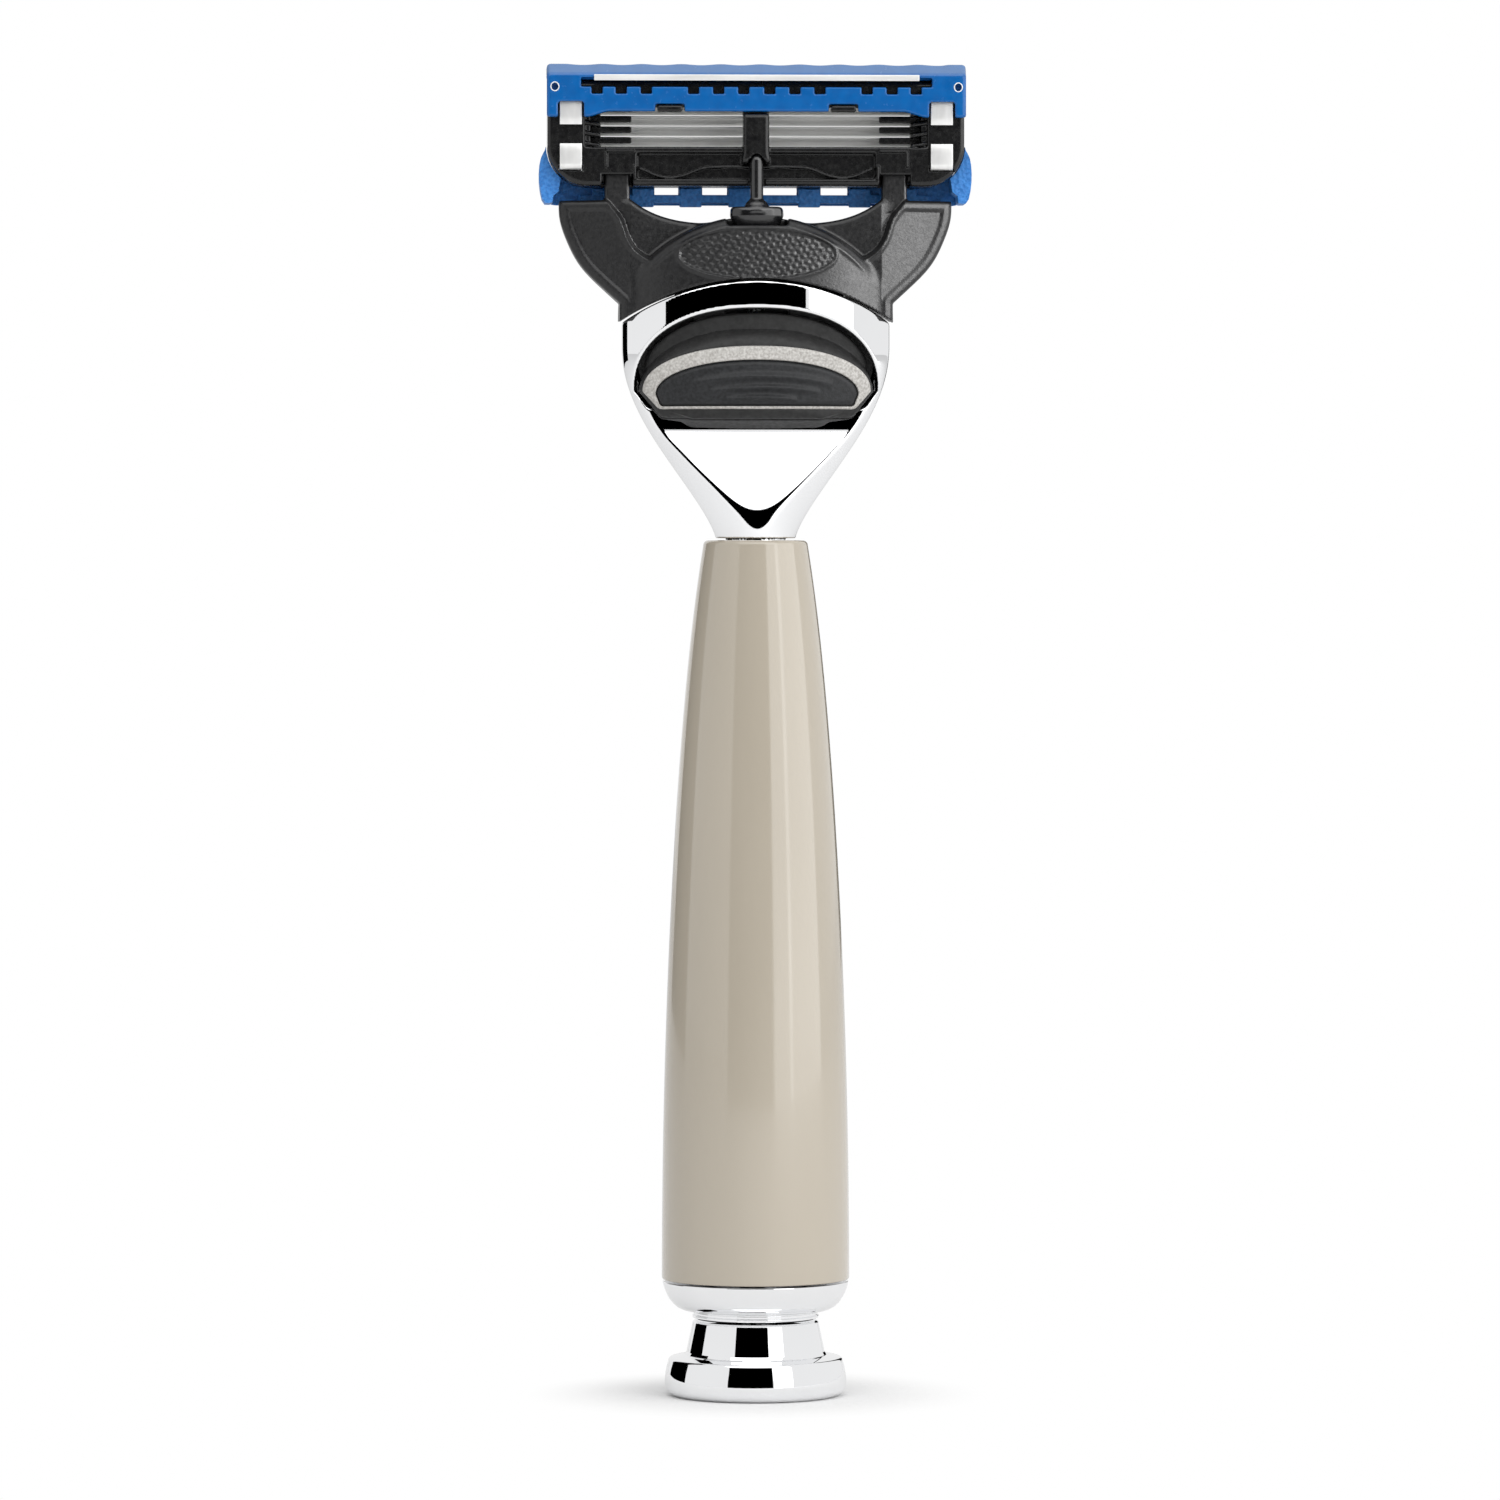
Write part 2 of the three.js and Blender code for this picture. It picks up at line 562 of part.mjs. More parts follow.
function trimmerCarrier() {
  const { halfWidth, back, base, top, inner } = CARRIER;
  const roof = FRAME.top + 0.15;
  const clipXs = [CLIP.inner - 0.15, CLIP.outer + 0.15];
  const section = outline([
    [back, base],
    [inner, base],
    [inner, roof],
    [1.2, roof],
    [1.2, top],
    [back + 0.8, top],
    [back, top - 1],
  ]);
  const slot = box(
    [-TRIMMER_SLOT.halfWidth, TRIMMER_SLOT.halfWidth],
    [-9, inner + 0.1],
    [TRIMMER_SLOT.base, TRIMMER_SLOT.top],
  );
  const notches = NOTCH_CENTRES.map((x) =>
    box([x - NOTCH.width / 2, x + NOTCH.width / 2], [-9, inner + 0.1], [NOTCH.base, TRIMMER_SLOT.base + 0.1]),
  );
  return bar(section, [-halfWidth, halfWidth])
    .subtract(slot)
    .subtract(joined(notches))
    .subtract(boxPair(clipXs, [-9, 0], [base - 1, 129.3]))
    .subtract(boxPair(clipXs, [CLIP.back - SLIDING_GAP, 0], [base - 1, CLIP.high + 0.15]));
}

const trimmerBlade = () => box([-16.2, 16.2], [CARRIER.back - 0.25, CARRIER.back - 0.05], [131.4, 132]);

// The cap over the blades' far side, and the lubricating strip that it holds.
function cap() {
  const roof = FRAME.top + 0.15;
  const section = outline([
    [1.35, roof],
    [FRAME.front + 0.15, roof],
    [FRAME.front + 0.15, 129.9],
    [4.1, 129.9],
    [4.1, 132.2],
    [3.2, CARRIER.top - 0.1],
    [1.35, CARRIER.top - 0.1],
  ]);
  const recess = box([-17.2, 17.2], [3.9, 9], [130.1, 132]);
  return bar(section, [-20.4, 20.4]).subtract(recess);
}

const lubricatingStrip = () => box([-17, 17], [3.95, 4.45], [130.25, 131.85]);

function guardBar() {
  const rail = box([-17.6, 17.6], [2.45, 3.4], [119.5, 120.3]);
  const tabs = GUARD_TABS.map((x) => box([x - 1.1, x + 1.1], [2.45, 3.4], [119.1, FRAME.base - 0.1]));
  return rail.add(joined(tabs));
}

// Soft fins in front of the blades, and soft wings round the cartridge's lower corners.
function guardRubber() {
  const face = plate(roundedPanel(21.4, 119.3, 122.4, 1.5, 0.5), [3.5, 4.3]);
  const grooves = [119.9, 120.6, 121.3].map((z) => box([-17.5, 17.5], [4, 9], [z, z + 0.35]));
  const corner = [FRAME.halfWidth - FRAME.corner, FRAME.base + FRAME.corner];
  const outer = splinePoints([[20.3, 119.4], [21.2, 119.5], [21.6, 121.5], [21.5, 123.6], [21, 124.7]], 10);
  const hug = arcPoints(corner, FRAME.corner + 0.15, -50, 0, 5).reverse();
  const wing = plate(outline([...outer, ...hug, [19.7, 120.5], [20.2, 120.1]]), [-0.6, 4]);
  const drains = GUARD_DRAINS.spans.map((xs) => box(xs, [3, 9], GUARD_DRAINS.height));
  return face
    .subtract(joined(grooves))
    .subtract(joined(drains))
    .add(wing)
    .add(wing.mirror([1, 0, 0]));
}

// ---------------------------------------------------------------------------------------------- materials

function material(color, roughness, metalness) {
  return new THREE.MeshStandardMaterial({ color, roughness, metalness });
}

const chrome = material(0xe8eaec, 0.06, 1);
const resin = material(0xb0a89a, 0.15, 0);
const blackPlastic = material(0x2a2a2b, 0.45, 0);
const greyRing = material(0xb9b7b2, 0.6, 0);
const darkRubber = material(0x303133, 0.75, 0);
const springSteel = material(0xb4b6b8, 0.3, 1);
const bladeSteel = material(0xc6c6c4, 0.25, 1);
const bluePlastic = material(0x0b6bb8, 0.25, 0);
const blueRubber = material(0x1663b0, 0.6, 0);
const stripGel = material(0xbfd3df, 0.5, 0);

// ---------------------------------------------------------------------------------------------- assembly

function mesh(name, made, look) {
  const part = new THREE.Mesh(geometryOf(made), look);
  part.name = name;
  return part;
}

function group(name, ...parts) {
  const made = new THREE.Group();
  made.name = name;
  return made.add(...parts);
}

const handle = group(
  "handle_group",
  mesh("foot", foot(), chrome),
  mesh("foot_collar", footCollar(), chrome),
  mesh("handle_sleeve", sleeve(), resin),
  mesh("tie_rod", tieRod(), springSteel),
  mesh("neck_casting", neckCasting(), chrome),
  mesh("neck_insert", neckInsert(), blackPlastic),
);

const ejector = group(
  "ejector_group",
  mesh("ejector_carriage", ejectorCarriage(), blackPlastic),
  mesh("button_shell", buttonShell(), blackPlastic),
  mesh("button_ring", buttonRing(), greyRing),
  mesh("button_pad", buttonPad(), darkRubber),
);

const springs = group(
  "spring_group",
  mesh("ejector_spring", ejectorSpring(), springSteel),
  mesh("plunger_spring", plungerSpring(), springSteel),
);

const clipSolid = clip();
const bladeIndexes = Array.from({ length: BLADE_COUNT }, (_, i) => i);

const cartridge = group(
  "cartridge_group",
  mesh("cartridge_frame", cartridgeFrame(), blackPlastic),
  mesh("trimmer_carrier", trimmerCarrier(), bluePlastic),
  mesh("trimmer_blade", trimmerBlade(), bladeSteel),
  mesh("cap", cap(), bluePlastic),
  mesh("lubricating_strip", lubricatingStrip(), stripGel),
  mesh("guard_bar", guardBar(), bluePlastic),
  mesh("guard_rubber", guardRubber(), blueRubber),
  mesh("clip_right", clipSolid, bladeSteel),
  mesh("clip_left", clipSolid.mirror([1, 0, 0]), bladeSteel),
  ...bladeIndexes.map((i) => mesh(`blade_${i + 1}`, blade(i), bladeSteel)),
  ...bladeIndexes.map((i) => mesh(`blade_support_${i + 1}`, bladeSupport(i), bladeSteel)),
);

export default group(
  "razor",
  handle,
  ejector,
  springs,
  mesh("plunger", plunger(), blackPlastic),
  mesh("yoke", yoke(), blackPlastic),
  cartridge,
);
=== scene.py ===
import json
import math

import bpy
import numpy as np
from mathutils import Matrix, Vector

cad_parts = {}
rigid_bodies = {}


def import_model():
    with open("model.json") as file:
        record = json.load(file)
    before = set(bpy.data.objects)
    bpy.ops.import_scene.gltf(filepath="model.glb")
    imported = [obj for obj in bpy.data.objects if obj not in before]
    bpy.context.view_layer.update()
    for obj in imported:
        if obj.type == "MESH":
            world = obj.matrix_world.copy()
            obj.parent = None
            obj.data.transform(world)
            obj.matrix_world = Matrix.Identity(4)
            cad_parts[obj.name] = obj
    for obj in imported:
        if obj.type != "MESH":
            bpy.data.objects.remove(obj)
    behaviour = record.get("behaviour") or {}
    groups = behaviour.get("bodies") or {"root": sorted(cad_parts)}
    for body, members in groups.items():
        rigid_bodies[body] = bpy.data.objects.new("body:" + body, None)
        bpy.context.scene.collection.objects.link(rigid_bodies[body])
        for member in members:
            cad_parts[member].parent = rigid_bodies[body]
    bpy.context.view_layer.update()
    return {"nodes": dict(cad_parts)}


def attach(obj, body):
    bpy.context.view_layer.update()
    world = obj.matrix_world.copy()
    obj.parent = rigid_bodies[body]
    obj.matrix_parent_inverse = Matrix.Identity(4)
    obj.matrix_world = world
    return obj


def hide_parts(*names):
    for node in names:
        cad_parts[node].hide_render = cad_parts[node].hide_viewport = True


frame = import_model()

MM = 0.001
STEP_SCALE = 1.0

# Handle
FOOT_TOP = 7.55
COLLAR_BASE = 7.7
COLLAR_RIM = 11.5
SLEEVE_BASE = 11.7
SLEEVE_TOP = 85.7
ROD_BORE = 2.3
SPIGOT = 5.0

# Neck
NECK_BASE = 85.9
NECK_FULL = 105.0
RIM_CENTRE, RIM_RADIUS = 87.55, 23.95
WINDOW = {"half": 12.1, "base": 100.6, "height": 8.1, "sill": 99.0, "power": 2.3, "splay": 0.8}
SHELL = {"half": 11.75, "base": 100.6, "height": 7.75, "sill": 97.9, "power": 2.3, "splay": 0.8}
RING = {"half": 11.4, "base": 100.5, "height": 4.5, "sill": 98.7, "power": 2.2, "splay": 0.9}
PAD = {"half": 10.0, "base": 100.2, "height": 3.3, "sill": 99.1, "power": 2.1, "splay": 0.4}
LIP_TOP = 98.58
BUTTON_TRAVEL = 1.8

# Head
DOME_CENTRE, DOME_RADIUS = 102.25, 15.75
PIVOT_Z = 122.0
PLUNGER_Y = -2.7
PLUNGER_DROP = 2.5  # for each radian that the cartridge turns
BLADE_Z, BLADE_PITCH = 124.1, 1.05

# ------------------------------------------------------------------------------------------ fields
# A field is negative inside a shape and grows by about a millimetre per millimetre outside it.


def smax(a, b, k):
    """The larger of two fields, with the crease between them rounded over about k."""
    h = np.maximum(k - np.abs(a - b), 0)
    return np.maximum(a, b) + h * h * (0.25 / k)


def smin(a, b, k):
    return -smax(-a, -b, k)


def step(edge0, edge1, v):
    """Goes smoothly from 0 at edge0 to 1 at edge1."""
    t = np.clip((v - edge0) / (edge1 - edge0), 0, 1)
    return t * t * (3 - 2 * t)


def slab(v, low, high):
    return np.abs(v - (low + high) / 2) - (high - low) / 2


def block(x, y, z, xs, ys, zs, r=0.1):
    """A box with rounded edges."""
    qx, qy, qz = slab(x, *xs) + r, slab(y, *ys) + r, slab(z, *zs) + r
    outside = np.sqrt(np.maximum(qx, 0) ** 2 + np.maximum(qy, 0) ** 2 + np.maximum(qz, 0) ** 2)
    return outside + np.minimum(np.maximum(np.maximum(qx, qy), qz), 0) - r


def ellipse(x, y, a, b):
    f = np.sqrt((x / a) ** 2 + (y / b) ** 2)
    g = np.sqrt((x / a**2) ** 2 + (y / b**2) ** 2)
    return np.where(g < 1e-5, -np.minimum(a, b), (f - 1) * f / np.maximum(g, 1e-5))


def disc(u, v, radius):
    return np.sqrt(u * u + v * v) - radius


def polygon(u, v, points):
    """Signed distance to a closed outline of (u, v) points."""
    near = np.full(np.broadcast(u, v).shape, 1e9)
    inside = np.zeros(near.shape, bool)
    for (u0, v0), (u1, v1) in zip(points, points[1:] + points[:1]):
        eu, ev = u1 - u0, v1 - v0
        wu, wv = u - u0, v - v0
        t = np.clip((wu * eu + wv * ev) / (eu * eu + ev * ev), 0, 1)
        near = np.minimum(near, (wu - eu * t) ** 2 + (wv - ev * t) ** 2)
        if v0 != v1:
            crosses = (v0 > v) != (v1 > v)
            inside ^= crosses & (u < u0 + (v - v0) * (eu / ev))
    return np.where(inside, -1.0, 1.0) * np.sqrt(near)


def spline(points, count):
    """Points along a natural cubic curve through the given points."""
    p = np.array(points, float)
    t = np.concatenate([[0], np.cumsum(np.linalg.norm(np.diff(p, axis=0), axis=1))])
    h = np.diff(t)
    n = len(p)
    matrix, right = np.eye(n), np.zeros((n, 2))
    for i in range(1, n - 1):
        matrix[i, i - 1 : i + 2] = h[i - 1], 2 * (h[i - 1] + h[i]), h[i]
        right[i] = 6 * ((p[i + 1] - p[i]) / h[i] - (p[i] - p[i - 1]) / h[i - 1])
    curve = np.linalg.solve(matrix, right)
    s = np.linspace(0, t[-1], count)
    i = np.clip(np.searchsorted(t, s, side="right") - 1, 0, n - 2)
    a, b, w = (t[i + 1] - s)[:, None], (s - t[i])[:, None], h[i][:, None]
    made = (curve[i] * a**3 + curve[i + 1] * b**3) / (6 * w)
    made += (p[i] / w - curve[i] * w / 6) * a + (p[i + 1] / w - curve[i + 1] * w / 6) * b
    return [tuple(q) for q in made]


def arch(x, z, centre, radius):
    return np.sqrt(x * x + (z - centre) ** 2) - radius


def flare(z):
    t = np.clip((z - NECK_BASE) / (NECK_FULL - NECK_BASE), 0, 1)
    return np.sin(np.pi / 2 * t)


def neck_column(x, y, z, inset=0.0):
    """The neck's outer surface, moved in by an inset."""
    half_width = 4 + 9.4 * np.maximum(flare(z), 1e-9) ** 1.32
    half_depth = 4 + 1.2 * flare(z)
    return ellipse(x, y, half_width - inset, half_depth - inset)


def window(x, z, size, grow=0.0):
    """A flat-bottomed superellipse."""
    half, height, power = size["half"] + grow, size["height"] + grow, size["power"]
    across, up = np.abs(x) / half, np.maximum(z - size["base"], 0) / height
    total = np.maximum(across**power + up**power, 1e-9)
    value = total ** (1 / power)
    scale = total ** (1 / power - 1)
    slope = np.sqrt((scale * across ** (power - 1) / half) ** 2 + (scale * up ** (power - 1) / height) ** 2)
    top = (value - 1) / np.maximum(slope, 0.04)
    low = (np.abs(x) - half + (size["base"] - z) * size["splay"]) / math.hypot(1, size["splay"])
    side = np.where(z > size["base"], top, low)
    return smax(side, size["sill"] - grow - z, 0.3)


# ------------------------------------------------------------------------------------------ meshing

CORNERS = [(i, j, k) for i in (0, 1) for j in (0, 1) for k in (0, 1)]
CELL_EDGES = [
    (a, b) for a in CORNERS for b in CORNERS if sum(b) - sum(a) == 1 and all(q >= p for p, q in zip(a, b))
]
GRADIENT_REACH = 0.012
SETTLING_STEPS = 3  # how often a point is moved along the field's slope to lie on the surface


def gradient(field, p):
    g = np.empty_like(p)
    for axis in range(3):
        ahead, behind = p.copy(), p.copy()
        ahead[:, axis] += GRADIENT_REACH
        behind[:, axis] -= GRADIENT_REACH
        g[:, axis] = (field(*ahead.T) - field(*behind.T)) / (2 * GRADIENT_REACH)
    return g


def corner(grid, c):
    """The grid's values at one corner of every cell."""
    return grid[tuple(slice(o, o - 1 if o == 0 else None) for o in c)]


def skin_of(field, low, high, cell):
    """The surface of a field inside a box, as points, outward normals and quads."""
    cell *= STEP_SCALE
    axes = [np.arange(a, b + cell, cell) for a, b in zip(low, high)]
    x, y, z = np.meshgrid(*axes, indexing="ij", sparse=True)
    values = np.broadcast_to(field(x, y, z), tuple(len(a) for a in axes))
    inside = values < 0
    count = sum(corner(inside, c).astype(np.int8) for c in CORNERS)
    active = (count > 0) & (count < 8)
    index = np.full(active.shape, -1, np.int64)
    index[active] = np.arange(active.sum())
    sums, hits = np.zeros((active.sum(), 3)), np.zeros(active.sum())
    for a, b in CELL_EDGES:
        va, vb = corner(values, a)[active], corner(values, b)[active]
        cross = (va < 0) != (vb < 0)
        t = np.where(cross, va / np.where(cross, va - vb, 1), 0)[:, None]
        sums += np.where(cross[:, None], np.array(a) + t * (np.array(b) - np.array(a)), 0)
        hits += cross
    points = (np.argwhere(active) + sums / hits[:, None]) * cell + np.array(low)
    quads = []
    for axis in range(3):
        u, v = (axis + 1) % 3, (axis + 2) % 3
        ahead, behind = [slice(None)] * 3, [slice(None)] * 3
        ahead[axis], behind[axis] = slice(1, None), slice(None, -1)
        change = inside[tuple(behind)].astype(np.int8) - inside[tuple(ahead)]
        for sign in (1, -1):
            at = np.argwhere(change == sign)
            at = at[(at[:, u] > 0) & (at[:, v] > 0)]
            ring = []
            for du, dv in ((-1, -1), (0, -1), (0, 0), (-1, 0)):
                cells = at.copy()
                cells[:, u] += du
                cells[:, v] += dv
                ring.append(index[tuple(cells.T)])
            quads.append(np.stack(ring[::sign], 1))
    for _ in range(SETTLING_STEPS):
        g = gradient(field, points)
        size = np.maximum((g * g).sum(1, keepdims=True), 0.05)
        move = -field(*points.T)[:, None] * g / size
        length = np.linalg.norm(move, axis=1, keepdims=True)
        points = points + move * np.minimum(1, 0.5 * cell / np.maximum(length, 1e-9))
    normals = gradient(field, points)
    normals /= np.maximum(np.linalg.norm(normals, axis=1, keepdims=True), 1e-9)
    return points, normals, np.concatenate(quads)


def mesh_object(name, points, normals, faces):
    mesh = bpy.data.meshes.new(name)
    mesh.from_pydata((np.asarray(points) * MM).tolist(), [], [list(map(int, f)) for f in faces])
    mesh.validate()
    mesh.polygons.foreach_set("use_smooth", [True] * len(mesh.polygons))
    if normals is not None:
        mesh.normals_split_custom_set_from_vertices(np.asarray(normals).tolist())
    made = bpy.data.objects.new(name, mesh)
    bpy.context.scene.collection.objects.link(made)
    return made


def moulded(name, field, low, high, cell=0.18):
    return mesh_object(name, *skin_of(field, low, high, cell))


# ------------------------------------------------------------------------------------------ turned parts


def arc(centre, radius, start, end, count):
    angles = np.radians(np.linspace(start, end, count))
    return [(centre[0] + radius * math.cos(a), centre[1] + radius * math.sin(a)) for a in angles]


def filleted(corners):
    """Corners of (radius, height, fillet) as profile points and their outward normals. A fillet of None
    marks a point on a smooth curve, and 0 a point on the axis."""
    n = len(corners)
    made = []
    for i, (r, h, fillet) in enumerate(corners):
        here = np.array([r, h])
        into = here - np.array(corners[i - 1][:2])
        out = np.array(corners[(i + 1) % n][:2]) - here
        into, out = into / np.linalg.norm(into), out / np.linalg.norm(out)
        before, after = np.array([into[1], -into[0]]), np.array([out[1], -out[0]])
        if fillet == 0:
            made.append((here, after if i == 0 else before))
            continue
        if fillet is None:
            mean = before + after
            made.append((here, mean / np.linalg.norm(mean)))
            continue
        turn = math.acos(max(-1.0, min(1.0, float(into @ out))))
        reach = fillet * math.tan(turn / 2)
        sign = 1 if into[0] * out[1] - into[1] * out[0] > 0 else -1
        centre = here - into * reach - before * fillet * sign
        for t in np.linspace(0, 1, FILLET_POINTS):
            w = before * math.sin((1 - t) * turn) + after * math.sin(t * turn)
            w = w / np.linalg.norm(w)
            made.append((centre + w * fillet * sign, w))
    return made


TURN_SEGMENTS = 160
FILLET_POINTS = 6


def turned(name, corners, closed=True):
    """A profile turned about the handle's axis, listed anticlockwise."""
    rows = filleted(corners)
    points, normals, rings = [], [], []
    for (r, h), (nr, nh) in rows:
        count = 1 if r < 1e-6 else TURN_SEGMENTS
        rings.append([len(points) + (i % count) for i in range(TURN_SEGMENTS)])
        for i in range(count):
            a = 2 * math.pi * i / TURN_SEGMENTS
            points.append((r * math.cos(a), r * math.sin(a), h))
            normals.append((nr * math.cos(a), nr * math.sin(a), nh))
    faces = []
    pairs = list(zip(rings, rings[1:])) + ([(rings[-1], rings[0])] if closed else [])
    for low, high in pairs:
        for i in range(TURN_SEGMENTS):
            j = (i + 1) % TURN_SEGMENTS
            loop = list(dict.fromkeys([low[i], low[j], high[j], high[i]]))
            if len(loop) > 2:
                faces.append(loop)
    return mesh_object(name, points, normals, faces)


def on_curve(points):
    return [(r, h, None) for r, h in points]


def sleeve_radius(z):
    t = (z - SLEEVE_BASE) / (SLEEVE_TOP - SLEEVE_BASE)
    return 9.4 - 3.6 * t**2 - 0.65 * t**8


def foot():
    disc_side = arc((7.9, 1.2), 1.2, -80, 0, 14) + [(9.1, 1.5), (9.06, 2.0), (8.94, 2.8), (8.76, 3.4)]
    shoulder = arc((8.38, 3.48), 0.36, 14, 76, 9)
    return turned(
        "foot_turning",
        [
            (0, 0, 0),
            (7.5, 0.0, 0.2),
            *on_curve(disc_side + shoulder),
            (7.12, 4.1, 0.12),
            (6.93, 4.4, 0.1),
            (6.3, 7.38, 0.1),
            (6.08, FOOT_TOP, 0.05),
            (ROD_BORE, FOOT_TOP, 0.05),
            (ROD_BORE, 3.7, 0.05),
            (0, 3.7, 0),
        ],
        closed=False,
    )


def foot_collar():
    bulge = spline([(6.65, 8.5), (7.7, 8.8), (8.7, 9.8), (9.15, 10.8), (9.32, 11.4)], 28)
    return turned(
        "foot_collar_turning",
        [
            (ROD_BORE, COLLAR_BASE, 0.05),
            (6.0, COLLAR_BASE, 0.06),
            (6.34, 7.86, 0.08),
            (6.34, 8.06, 0.06),
            (6.18, 8.16, 0.05),
            (6.18, 8.38, 0.05),
            *on_curve(bulge),
            (9.3, COLLAR_RIM, 0.04),
            (SPIGOT, COLLAR_RIM, 0.05),
            (SPIGOT, 14.5, 0.1),
            (ROD_BORE, 14.5, 0.1),
        ],
    )


def handle_sleeve():
    fillet = 0.5
    side = np.linspace(SLEEVE_BASE + 0.35, SLEEVE_TOP - fillet, 70)
    top_r = sleeve_radius(SLEEVE_TOP - fillet) - fillet
    return turned(
        "handle_sleeve_turning",
        [
            (SPIGOT + 0.3, SLEEVE_BASE, 0.05),
            (sleeve_radius(SLEEVE_BASE) - 0.02, SLEEVE_BASE, 0.15),
            *on_curve([(sleeve_radius(z), z) for z in side]),
            *on_curve(arc((top_r, SLEEVE_TOP - fillet), fillet, 12, 88, 8)),
            (3.3, SLEEVE_TOP, 0.1),
            (3.3, 79.5, 0.05),
            (ROD_BORE, 79.5, 0.05),
            (ROD_BORE, 14.8, 0.05),
            (SPIGOT + 0.3, 14.8, 0.05),
        ],
    )


# ------------------------------------------------------------------------------------------ neck

PAN_TOP = 101.2
PAN_LOW = [(84.0, -4.7), (87.6, -4.14), (88.6, -3.98), (89.4, -3.8), (91.4, -3.24), (93.0, -2.84)]
PAN_HIGH = [(95.0, -2.42), (96.9, -2.02), (97.8, -1.9), (98.8, -1.84), (PAN_TOP, -1.8)]
PAN_RAMP = spline(PAN_LOW + PAN_HIGH, 2400)
PAN_Z, PAN_Y = (np.array(c) for c in zip(*PAN_RAMP))


def thumb_pan(x, y, z):
    """The scooped ramp under the button: negative where it cuts the neck away."""
    scoop = 0.03 * x * x * step(96.5, 90.5, z)
    ramp = np.interp(z - scoop, PAN_Z, PAN_Y)
    return smax(y - ramp, z - PAN_TOP, 0.2)


def neck_field(x, y, z):
    body = smax(neck_column(x, y, z), arch(x, z, RIM_CENTRE, RIM_RADIUS), 0.25)
    body = smax(body, NECK_BASE - z, 0.08)
    body = smax(body, -thumb_pan(x, y, z), 0.32)
    opening = smax(window(x, z, WINDOW), y + 0.8, 0.3)
    body = smax(body, -opening, 0.45)
    hollow = smax(neck_column(x, y, z, 1.1), 98.5 - z, 0.6)
    body = smax(body, -hollow, 0.25)
    boss = smax(disc(x, y, 3.0), slab(z, 79.8, 86.9), 0.3)
    bore = smax(disc(x, y, ROD_BORE), z - 84.5, 0.1)
    return smax(smin(body, boss, 0.05), -bore, 0.15)


def neck_casting():
    return moulded("neck_shell_casting", neck_field, (-13.8, -5.6, 79.4), (13.8, 5.6, 111.9), 0.16)


# ------------------------------------------------------------------------------------------ eject button


def lean(y, z, proud):
    """The plane that the button's face leans in, from its top out to its sill."""
    return (-4.9 - proud) * (z - 98) / 8 + (-6.1 - proud) * (106 - z) / 8 - y


def button_front(x, y, z, proud):
    return smax(neck_column(x, y, z, -proud), lean(y, z, proud), 0.5)


def shell_lip(x, y, z):
    """The shelf along the shell's foot, drawn in towards its underside."""
    below = LIP_TOP - z
    half, front = 8.9 - below * 3.0, -5.55 + below * 1.2
    lip = smax(np.abs(x) - half, slab(z, 97.8, 98.62), 0.3)
    lip = smax(lip, slab(y, front, -2.4), 0.3)
    return smax(lip, neck_column(x, y, z, -0.5), 0.3)


def shell_field(x, y, z):
    from_ring = np.maximum(window(x, z, RING), 0)
    to_rim = np.maximum(-window(x, z + BUTTON_TRAVEL + 0.15, WINDOW), 0)
    share = from_ring / np.maximum(from_ring + to_rim, 1e-6)
    rise = 1.85 * (1 - share**1.8)
    front = smax(neck_column(x, y, z, 1.4 - rise), lean(y, z, 0.5), 0.8)
    skin = smax(smax(front, window(x, z, SHELL), 0.35), -neck_column(x, y, z, 2.4), 0.3)
    skin = smax(skin, y + 1.2 + 1.2 * step(99.4, 99.1, z), 0.3)
    return smin(skin, shell_lip(x, y, z), 0.25)


def button_layer(x, y, z, size, proud, edge):
    front = button_front(x, y, z, proud)
    body = smax(window(x, z, size), front, edge)
    body = smax(body, y + 2.4, 0.1)
    return smax(body, -neck_column(x, y, z, 1.3), 0.1)


def ring_field(x, y, z):
    return smax(button_layer(x, y, z, RING, 0.7, 0.35), -window(x, z, PAD, 0.1), 0.12)


def ridge(x, z, middle, half_width, arching, thickness):
    """A low finger ridge: an arched lens shape."""
    across = np.clip(np.abs(x) / half_width, 0, 1.2)
    line = middle - arching * across**2
    taper = np.sqrt(np.maximum(1 - across**2, 0))
    return taper * np.exp(-(((z - line) / thickness) ** 2))


def pad_field(x, y, z):
    body = button_layer(x, y, z, PAD, 0.85, 0.5)
    relief = ridge(x - 0.4, z, 101.95, 7.1, 0.75, 0.36)
    relief = relief + ridge(x - 0.6, z, 100.85, 5.6, 0.45, 0.32) + ridge(x - 0.3, z, 99.85, 3.6, 0.2, 0.28)
    return body - 0.34 * relief * step(-4.0, -4.6, y)


def button():
    shell = moulded("button_shell_moulding", shell_field, (-12.2, -6.4, 97.5), (12.2, -0.5, 108.8), 0.15)
    ring = moulded("button_ring_moulding", ring_field, (-11.8, -6.6, 98.3), (11.8, -2.0, 105.4), 0.13)
    pad = moulded("button_pad_moulding", pad_field, (-10.3, -6.8, 98.7), (10.3, -2.0, 103.9), 0.13)
    return shell, ring, pad


# ------------------------------------------------------------------------------------------ plunger


